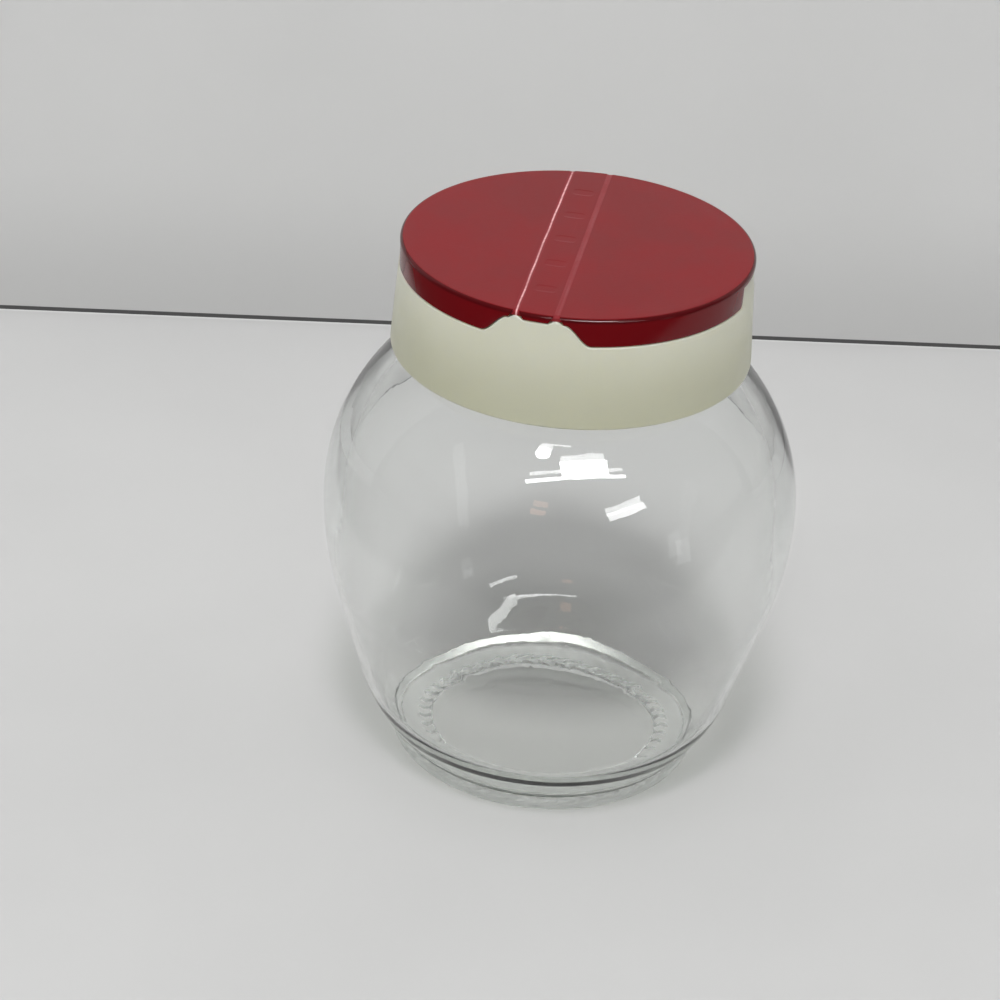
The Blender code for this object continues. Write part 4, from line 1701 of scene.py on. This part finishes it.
@dataclass(frozen=True)
class StripTop:
    """Fixed middle strip of the red top, with rounded ends and the snap studs below."""

    sizes: CapSizes = CapSizes()
    rim_round: float = 0.8 * MM
    foot_round: float = 0.12 * MM
    top_insets: Pair = (9.0 * MM, 0.9 * MM)
    under_insets: Pair = (1.2 * MM, 9.0 * MM)
    curved_inset: float = 2.0 * MM
    stud_radius: float = 1.3 * MM
    stud_head: float = 0.6 * MM
    stud_lap: float = 0.2 * MM
    stud_rounds: Pair = (0.15 * MM, 0.3 * MM)
    stud_depths: Pair = (0.8 * MM, 0.9 * MM)
    stud_tip: float = 0.3 * MM
    stud_spacing: float = 18.0 * MM
    stud_steps: int = 28
    sharp_angle: float = 44.0

    def make(self) -> Piece:
        """Build the strip: a loop along Y over the rounded ends, swept across X.

        Returns:
            The piece, which stands for the CAD node of the strip.
        """
        sizes, soft, foot = self.sizes, self.rim_round, self.foot_round
        top, under, radius = sizes.slab_top, sizes.slab_bottom, sizes.lid_radius
        turn = np.linspace(math.pi / 2, 0.0, 9)
        inset = np.concatenate([soft * (1.0 - np.cos(turn)), [0.0, foot]])
        height = np.concatenate([top - soft * (1.0 - np.sin(turn)), [under + foot, under]])
        inset = np.concatenate([self.top_insets, inset, self.under_insets])
        height = np.concatenate([(top, top), height, (under, under)])
        sign = np.repeat((1.0, -1.0), len(height))
        inset = np.concatenate([inset, inset[::-1]])
        height = np.concatenate([height, height[::-1]])
        across = np.linspace(-1.0, 1.0, 15)
        down = (top - height) / sizes.slab_thickness
        half = sizes.strip_width / 2.0 - sizes.groove_half - sizes.groove_splay * down
        x = sizes.strip_offset + across[:, None] * half[None, :]
        reach = np.sqrt((radius - np.minimum(inset, self.curved_inset)) ** 2 - x * x)
        reach -= np.maximum(inset - self.curved_inset, 0.0)
        skin = Skin()
        skin.tube(np.stack((x, sign * reach, np.broadcast_to(height, x.shape)), axis=-1))
        self.add_studs(skin)
        return skin.build("strip_top", self.sharp_angle)

    def add_studs(self, skin: Skin) -> None:
        """Add the studs whose heads show under the deck.

        Args:
            skin: The strip's skin.
        """
        sizes = self.sizes
        head = sizes.deck_bottom - sizes.gap
        edge_depth, tip_depth = self.stud_depths
        edge_round, tip_round = self.stud_rounds
        profile = rounded(
            [
                (self.stud_radius, sizes.slab_bottom + self.stud_lap, 0.0),
                (self.stud_radius, head, 0.0),
                (self.stud_radius + self.stud_head, head, edge_round),
                (self.stud_radius, head - edge_depth, tip_round),
                (self.stud_tip, head - tip_depth, 0.0),
            ]
        )
        for index in (-1, 0, 1):
            post(skin, profile, (sizes.strip_offset, index * self.stud_spacing), self.stud_steps)


@dataclass(frozen=True)
class HingeWeb:
    """Living hinge: a thin sheet across the groove, with a shallow valley along its middle."""

    side: Side
    sizes: CapSizes = CapSizes()
    thickness: float = 0.32 * MM
    valley: float = 0.05 * MM
    valley_share: float = 0.8
    low_valley: float = 0.4
    lap: float = 0.01 * MM
    end_gap: float = 0.25 * MM
    rim_share: float = 0.985
    rim_drop: float = 0.28 * MM
    end_share: float = 0.035
    end_fade: float = 0.8
    end_drop: float = 0.62 * MM
    end_splay: float = 1.05
    sharp_angle: float = 60.0

    def make(self) -> Piece:
        """Build the sheet from a grid whose length follows the rim at each x.

        Returns:
            The piece, with an attribute that runs from -1 to 1 across the hinge line.
        """
        sizes, middle = self.sizes, self.sizes.hinge_x(self.side)
        across = np.linspace(-1.0, 1.0, 13)
        along = np.linspace(-1.0, 1.0, 121)[:, None]
        x = middle + across * (sizes.groove_half + self.lap)
        reach = np.sqrt((sizes.lid_radius - self.end_gap) ** 2 - x * x)
        drop = self.valley * (1.0 - smooth(np.abs(across) / self.valley_share))
        rim = smooth((np.abs(along) - self.rim_share) / (1.0 - self.rim_share))
        end = smooth((np.abs(along) - 1.0 + self.end_share) / (self.end_fade * self.end_share))
        y = along * reach[None, :]
        x = np.broadcast_to(x, y.shape)
        top = (sizes.slab_top - drop)[None, :] - self.rim_drop * rim**2
        low = sizes.slab_top - self.thickness - self.low_valley * drop - self.end_drop * end
        low_x = middle + (x - middle) * (1.0 + self.end_splay * end)
        pairs = ((x, low_x), (y, y), (top, low))
        loops = [np.concatenate([upper, lower[:, ::-1]], axis=1) for upper, lower in pairs]
        skin = Skin()
        skin.tube(np.stack(loops, axis=-1))
        piece = skin.build(f"{self.side.name.lower()}_hinge_skin", self.sharp_angle)
        mesh = piece.data
        places = np.empty(len(mesh.vertices) * 3, np.float32)
        mesh.vertices.foreach_get("co", places)
        value = ((places[0::3] - middle) / sizes.groove_half).astype(np.float32)
        mesh.attributes.new("across", "FLOAT", "POINT").data.foreach_set("value", value)
        return piece


@dataclass(frozen=True)
class Plugs:
    """What hangs under the flaps: the spoon side's wall and the shaker side's pins."""

    collar: ScrewCollar = ScrewCollar()
    wall: float = 1.0 * MM
    lap: float = 0.05 * MM
    wall_round: float = 0.3 * MM
    pin_taper: float = 0.4 * MM
    pin_round: float = 0.5 * MM
    pin_tip: float = 0.2 * MM
    pin_steps: int = 32
    sharp_angle: float = 50.0

    @property
    def heights(self) -> Pair:
        """Upper and lower end of a plug."""
        under = self.collar.sizes.slab_bottom
        return under + self.lap, under - self.collar.sizes.plug_depth

    def spoon(self) -> Piece:
        """Build the wall that follows the opening's outline, drawn in by the clearance.

        Returns:
            The piece.
        """
        top, low = self.heights
        outer = self.collar.sizes.plug_clearance
        inner, soft = outer + self.wall, self.wall_round
        section = rounded(
            [(outer, top, 0.0), (outer, low, soft), (inner, low, soft), (inner, top, 0.0)]
        )
        skin = Skin()
        rows = [level(self.collar.opening(inset), z) for inset, z in section]
        skin.grid(np.stack(rows), wrap_rows=True, wrap_columns=True)
        return skin.build("spoon_plug_wall", self.sharp_angle)

    def shaker(self) -> Piece:
        """Build the tapered pins with rounded ends, one for each hole.

        Returns:
            The piece.
        """
        top, low = self.heights
        root = self.collar.hole_radius - self.collar.sizes.plug_clearance
        profile = rounded(
            [(root, top, 0.0), (root - self.pin_taper, low, self.pin_round), (self.pin_tip, low, 0.0)]
        )
        skin = Skin()
        for place in self.collar.hole_places():
            post(skin, profile, place, self.pin_steps)
        return skin.build("shaker_plug_pins", self.sharp_angle)


# Stage


@dataclass(frozen=True)
class PhotoCamera:
    """The camera, at the photograph's place and angles."""

    place: Triple = (0.05758, -0.46744, 0.32964)
    azimuth: float = math.radians(8.5)
    pitch: float = math.radians(30.28)
    roll: float = math.radians(3.61)
    lens: float = 94.8
    sensor: float = 36.0
    clip: Pair = (0.02, 30.0)

    def make(self) -> Piece:
        """Build the camera and make it the scene's own.

        Returns:
            The camera.
        """
        data = bpy.data.cameras.new("photo camera")
        data.lens, data.sensor_width = self.lens, self.sensor
        data.clip_start, data.clip_end = self.clip
        camera = bpy.data.objects.new("photo camera", data)
        turn = Matrix.Rotation(self.azimuth, 4, "Z")
        turn @= Matrix.Rotation(math.pi / 2 - self.pitch, 4, "X")
        turn @= Matrix.Rotation(self.roll, 4, "Z")
        camera.matrix_world = Matrix.Translation(self.place) @ turn
        bpy.context.scene.collection.objects.link(camera)
        bpy.context.scene.camera = camera
        return camera


class Role(Enum):
    """What a lamp does: lights the stage, is mirrored as a highlight, or both."""

    BOTH = "both"
    LIGHT = "light"
    GLINT = "glint"


@dataclass(frozen=True)
class Lamp:
    """One soft lamp, placed by its direction from the jar."""

    name: str
    azimuth: float
    elevation: float
    distance: float
    width: float
    height: float
    power: float
    colour: Colour = (1.0, 1.0, 1.0)
    roll: float = 0.0
    shape: str = "RECTANGLE"
    role: Role = Role.BOTH
    aim_height: float = 70.0 * MM

    def make(self) -> Piece:
        """Build the lamp, facing the middle of the jar.

        Returns:
            The lamp.
        """
        data = bpy.data.lights.new(self.name, "AREA")
        data.shape = self.shape
        data.size, data.size_y = self.width, self.height
        data.energy, data.color = self.power, self.colour
        lamp = bpy.data.objects.new(self.name, data)
        azimuth, elevation = math.radians(self.azimuth), math.radians(self.elevation)
        level_share = math.cos(elevation)
        towards = Vector(
            (math.sin(azimuth) * level_share, -math.cos(azimuth) * level_share, math.sin(elevation))
        )
        target = Vector((0.0, 0.0, self.aim_height))
        turn = towards.to_track_quat("Z", "Y").to_matrix().to_4x4()
        turn @= Matrix.Rotation(math.radians(self.roll), 4, "Z")
        lamp.matrix_world = Matrix.Translation(target + towards * self.distance) @ turn
        lamp.visible_camera = False
        lamp.visible_glossy = self.role is not Role.LIGHT
        lamp.visible_diffuse = self.role is not Role.GLINT
        bpy.context.scene.collection.objects.link(lamp)
        return lamp


@dataclass(frozen=True)
class Studio:
    """Pale floor, one-sided pale backdrop, room light and lamps."""

    floor_grey: Colour = (0.60, 0.60, 0.597)
    mirrored_grey: Colour = (0.08, 0.08, 0.078)
    floor_sides: tuple[tuple[Triple, float], ...] = (
        ((0.240, -0.971, 0.0), 0.105),
        ((-0.941, -0.338, 0.0), 0.130),
    )
    side_fade: float = 0.045
    far_edge: Pair = (0.32, 0.90)
    far_share: float = 0.55
    backdrop_grey: Colour = (0.65, 0.65, 0.645)
    shaded_share: float = 0.82
    shaded_heights: Pair = (2.0 * MM, 48.0 * MM)
    floor_half: float = 3.0
    backdrop_middle: Pair = (0.0, 0.1925)
    backdrop_angle: float = math.radians(11.35)
    backdrop_half: float = 0.9
    backdrop_height: float = 0.75
    # The dark strip at the backdrop's foot is painted shade, standing in for the shadow in the gap to
    # the floor
    gap_shade_height: float = 1.2 * MM
    lamps: tuple[Lamp, ...] = (
        Lamp("main lamp", 5.0, 64.0, 1.8, 0.30, 0.30, 16.4, role=Role.LIGHT),
        Lamp("top lamp", 0.0, 84.0, 1.8, 0.5, 0.5, 4.0, role=Role.LIGHT),
        Lamp("rear left", -145.0, 55.0, 1.8, 0.9, 0.9, 10.0, role=Role.LIGHT),
        Lamp("left fill", -70.0, 38.0, 2.2, 2.0, 2.0, 2.4, role=Role.LIGHT),
        Lamp("ceiling panel", 23.0, 50.5, 1.6, 0.60, 0.24, 18.0, role=Role.GLINT),
        Lamp("long tail", 17.0, 46.2, 1.6, 1.35, 0.05, 6.0, roll=2.5, role=Role.GLINT),
        Lamp("ceiling spot", -8.4, 57.0, 1.6, 0.18, 0.18, 2.2, shape="DISK"),
        Lamp("window strip", 42.5, 25.4, 1.6, 0.52, 0.11, 2.2, roll=8.0, role=Role.GLINT),
        Lamp("side window", 65.0, -1.5, 0.5, 0.06, 0.10, 0.024, role=Role.GLINT),
        Lamp("warm glow", -3.6, 26.5, 1.6, 0.20, 0.08, 0.16, (1.0, 0.55, 0.38), role=Role.GLINT),
    )
    sky_heights: Pair = (0.05, 0.85)
    zenith: float = 0.24
    horizon: float = 0.80
    mirrored_horizon: float = 0.15
    paper_scale: float = 9.0
    paper_low: float = 0.955
    paper_roughness: float = 0.85
    paper_gloss: float = 0.2
    gap_shade_grey: Colour = (0.10, 0.10, 0.10)
    floor_drop: float = 0.3 * MM

    def sheet(self, name: str, corners: list[Triple], finish: Material) -> None:
        """Lay a flat four-cornered sheet on the stage.

        Args:
            name: The sheet's name.
            corners: Its corners in order.
            finish: Its material.
        """
        mesh = bpy.data.meshes.new(name)
        mesh.from_pydata(corners, [], [(0, 1, 2, 3)])
        piece = bpy.data.objects.new(name, mesh)
        bpy.context.scene.collection.objects.link(piece)
        mesh.materials.append(finish)

    def paper(
        self, name: str, grey: Colour, one_sided: bool = False, fades: bool = False
    ) -> Material:
        """Matt pale paper, with an even, faintly uneven tone.

        Args:
            name: The material's name.
            grey: Its colour.
            one_sided: Whether the back of the sheet is open and its foot is shaded.
            fades: Whether it turns dark away from the jar where it is mirrored.

        Returns:
            The material.
        """
        nodes = Nodes.fresh(name)
        share = nodes.spread(nodes.noise(self.paper_scale, 3.0), *NOISE_MIDDLE)
        tone = nodes.mix(share, tuple(self.paper_low * value for value in grey), grey)
        if fades:
            tone = nodes.mix(self.mirrored_room(nodes), tone, self.mirrored_grey)
        if one_sided:
            rise = nodes.spread(nodes.where()[2], *self.shaded_heights)
            tone = nodes.mix(rise, tuple(self.shaded_share * value for value in grey), tone)
            nodes.see_through(nodes.add("NewGeometry").outputs["Backfacing"])
        nodes.link(tone, nodes.shader.inputs["Base Color"])
        nodes.shader.inputs["Roughness"].default_value = self.paper_roughness
        nodes.shader.inputs["Specular IOR Level"].default_value = self.paper_gloss
        return nodes.material

    def mirrored_room(self, nodes: Nodes) -> Socket:
        """Share of the dark room round the floor, which reflections show and nothing else.

        Args:
            nodes: The floor's nodes.

        Returns:
            1 where the room is dark, for a mirrored ray that didn't come through glass.
        """
        far = nodes.add("VectorMath", operation="LENGTH")
        nodes.link(nodes.place(), far.inputs[0])
        share = nodes.spread(far.outputs["Value"], *self.far_edge, 0.0, self.far_share)
        for away, edge in self.floor_sides:
            reach = nodes.add("VectorMath", operation="DOT_PRODUCT")
            nodes.link(nodes.place(), reach.inputs[0])
            reach.inputs[1].default_value = away
            beyond = nodes.spread(reach.outputs["Value"], edge, edge + self.side_fade)
            share = nodes.maths("MAXIMUM", share, beyond)
        path = nodes.add("LightPath").outputs
        straight = nodes.spread(path["Is Transmission Ray"], 0.0, 1.0, 1.0, 0.0)
        mirrored = nodes.maths("MULTIPLY", path["Is Glossy Ray"], straight)
        return nodes.maths("MULTIPLY", share, mirrored)

    def make_backdrop(self) -> None:
        """Build the backdrop, and along its foot a dark strip of painted shade where the floor meets
        it.
        """
        along = Vector((math.cos(self.backdrop_angle), math.sin(self.backdrop_angle), 0.0))
        middle = Vector((*self.backdrop_middle, 0.0))
        left, right = middle - along * self.backdrop_half, middle + along * self.backdrop_half
        # The first strip is a dark sheet of painted shade at the backdrop's foot
        strips = (
            ("backdrop gap shade", self.gap_shade_grey, 0.0, self.gap_shade_height),
            ("backdrop", self.backdrop_grey, self.gap_shade_height, self.backdrop_height),
        )
        for name, grey, low, high in strips:
            ends = ((left, low), (right, low), (right, high), (left, high))
            corners = [(end.x, end.y, z) for end, z in ends]
            self.sheet(name, corners, self.paper(name, grey, one_sided=True))

    def make_world(self) -> None:
        """Build the room's light.

        It blends by the height of the direction from the horizon's level to the zenith's. A
        mirrored ray that didn't come through glass sees a darker horizon.
        """
        world = bpy.data.worlds.new("room")
        bpy.context.scene.world = world
        world.use_nodes = True
        nodes, link = world.node_tree.nodes, world.node_tree.links.new
        parts = nodes.new("ShaderNodeSeparateXYZ")
        link(nodes.new("ShaderNodeTexCoord").outputs["Generated"], parts.inputs[0])
        path = nodes.new("ShaderNodeLightPath").outputs
        mirrored = nodes.new("ShaderNodeMath")
        mirrored.operation, mirrored.use_clamp = "SUBTRACT", True
        link(path["Is Glossy Ray"], mirrored.inputs[0])
        link(path["Is Transmission Ray"], mirrored.inputs[1])
        low = nodes.new("ShaderNodeMapRange")
        low.inputs["To Min"].default_value = self.horizon
        low.inputs["To Max"].default_value = self.mirrored_horizon
        link(mirrored.outputs[0], low.inputs["Value"])
        ramp = nodes.new("ShaderNodeMapRange")
        ramp.interpolation_type = "SMOOTHSTEP"
        for socket, value in zip(("From Min", "From Max", "To Max"), (*self.sky_heights, self.zenith)):
            ramp.inputs[socket].default_value = value
        link(low.outputs["Result"], ramp.inputs["To Min"])
        link(parts.outputs["Z"], ramp.inputs["Value"])
        link(ramp.outputs["Result"], nodes["Background"].inputs["Color"])

    def make(self) -> None:
        """Build the stage."""
        half, z = self.floor_half, -self.floor_drop
        corners = [(-half, -half, z), (half, -half, z), (half, half, z), (-half, half, z)]
        self.sheet("floor", corners, self.paper("pale floor", self.floor_grey, fades=True))
        self.make_backdrop()
        for lamp in self.lamps:
            lamp.make()
        self.make_world()
        bpy.context.scene.view_settings.view_transform = "Standard"


# Putting it together


def dress(piece: Piece, material: Material, slot: str, body: str, *nodes: str) -> Piece:
    """Give a piece its finish, its body and the CAD nodes that it stands for.

    Args:
        piece: The piece.
        material: Its finish.
        slot: Not used.
        body: The CAD body that it rides on.
        nodes: CAD nodes that it replaces.

    Returns:
        The piece.
    """
    piece.data.materials.append(material)
    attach(piece, body)
    if nodes:
        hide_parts(*nodes)
    LOG.info("%s: %d faces on %s", piece.name, len(piece.data.polygons), body)
    return piece


def hang_web(side: Side, flap: str, finish: HingeRed) -> None:
    """Build a hinge web in the groove between the cap and a flap, in place of the CAD's web.

    Args:
        side: Which hinge it is.
        flap: The flap's body.
        finish: The web's finish.
    """
    web = HingeWeb(side)
    piece = web.make()
    piece.data.materials.append(finish.make(f"{side.name.lower()} hinge red"))
    middle, height = web.sizes.hinge_x(side), web.sizes.slab_top
    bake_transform(piece)
    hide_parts(f"{side.name.lower()}_hinge_web")
    LOG.info("%s: %d faces between cap and %s", piece.name, len(piece.data.polygons), flap)


def main() -> None:
    """Build every piece in order, then the stage."""
    sizes = CapSizes()
    red = RedPlastic(top=sizes.slab_top, sink_x=sizes.strip_offset).make()
    cream = CreamPlastic().make()
    dress(JarGlass().make(), ClearGlass().make(), "clear_glass", "glass_jar", "glass_jar")
    dress(SealRing().make(), WhiteFoam().make(), "white_foam", "seal", "seal_ring")
    dress(ScrewCollar().make(), cream, "cream_plastic", "cap", "collar")
    dress(StripTop().make(), red, "red_plastic", "cap", "centre_strip")
    dress(FlapTop(Side.SPOON).make(), red, "red_plastic", "spoon_flap", "spoon_flap")
    dress(FlapTop(Side.SHAKER).make(), red, "red_plastic", "shaker_flap", "shaker_flap")
    dress(Plugs().spoon(), red, "red_plastic", "spoon_flap")
    dress(Plugs().shaker(), red, "red_plastic", "shaker_flap")
    hang_web(Side.SHAKER, "shaker_flap", HingeRed(core=0.42, broken=0.35))
    hang_web(Side.SPOON, "spoon_flap", HingeRed(core=1.5, share=0.055))
    PhotoCamera().make()
    Studio().make()


if __name__ == "__main__":
    logging.basicConfig(level=logging.INFO, format="%(message)s")
    main()
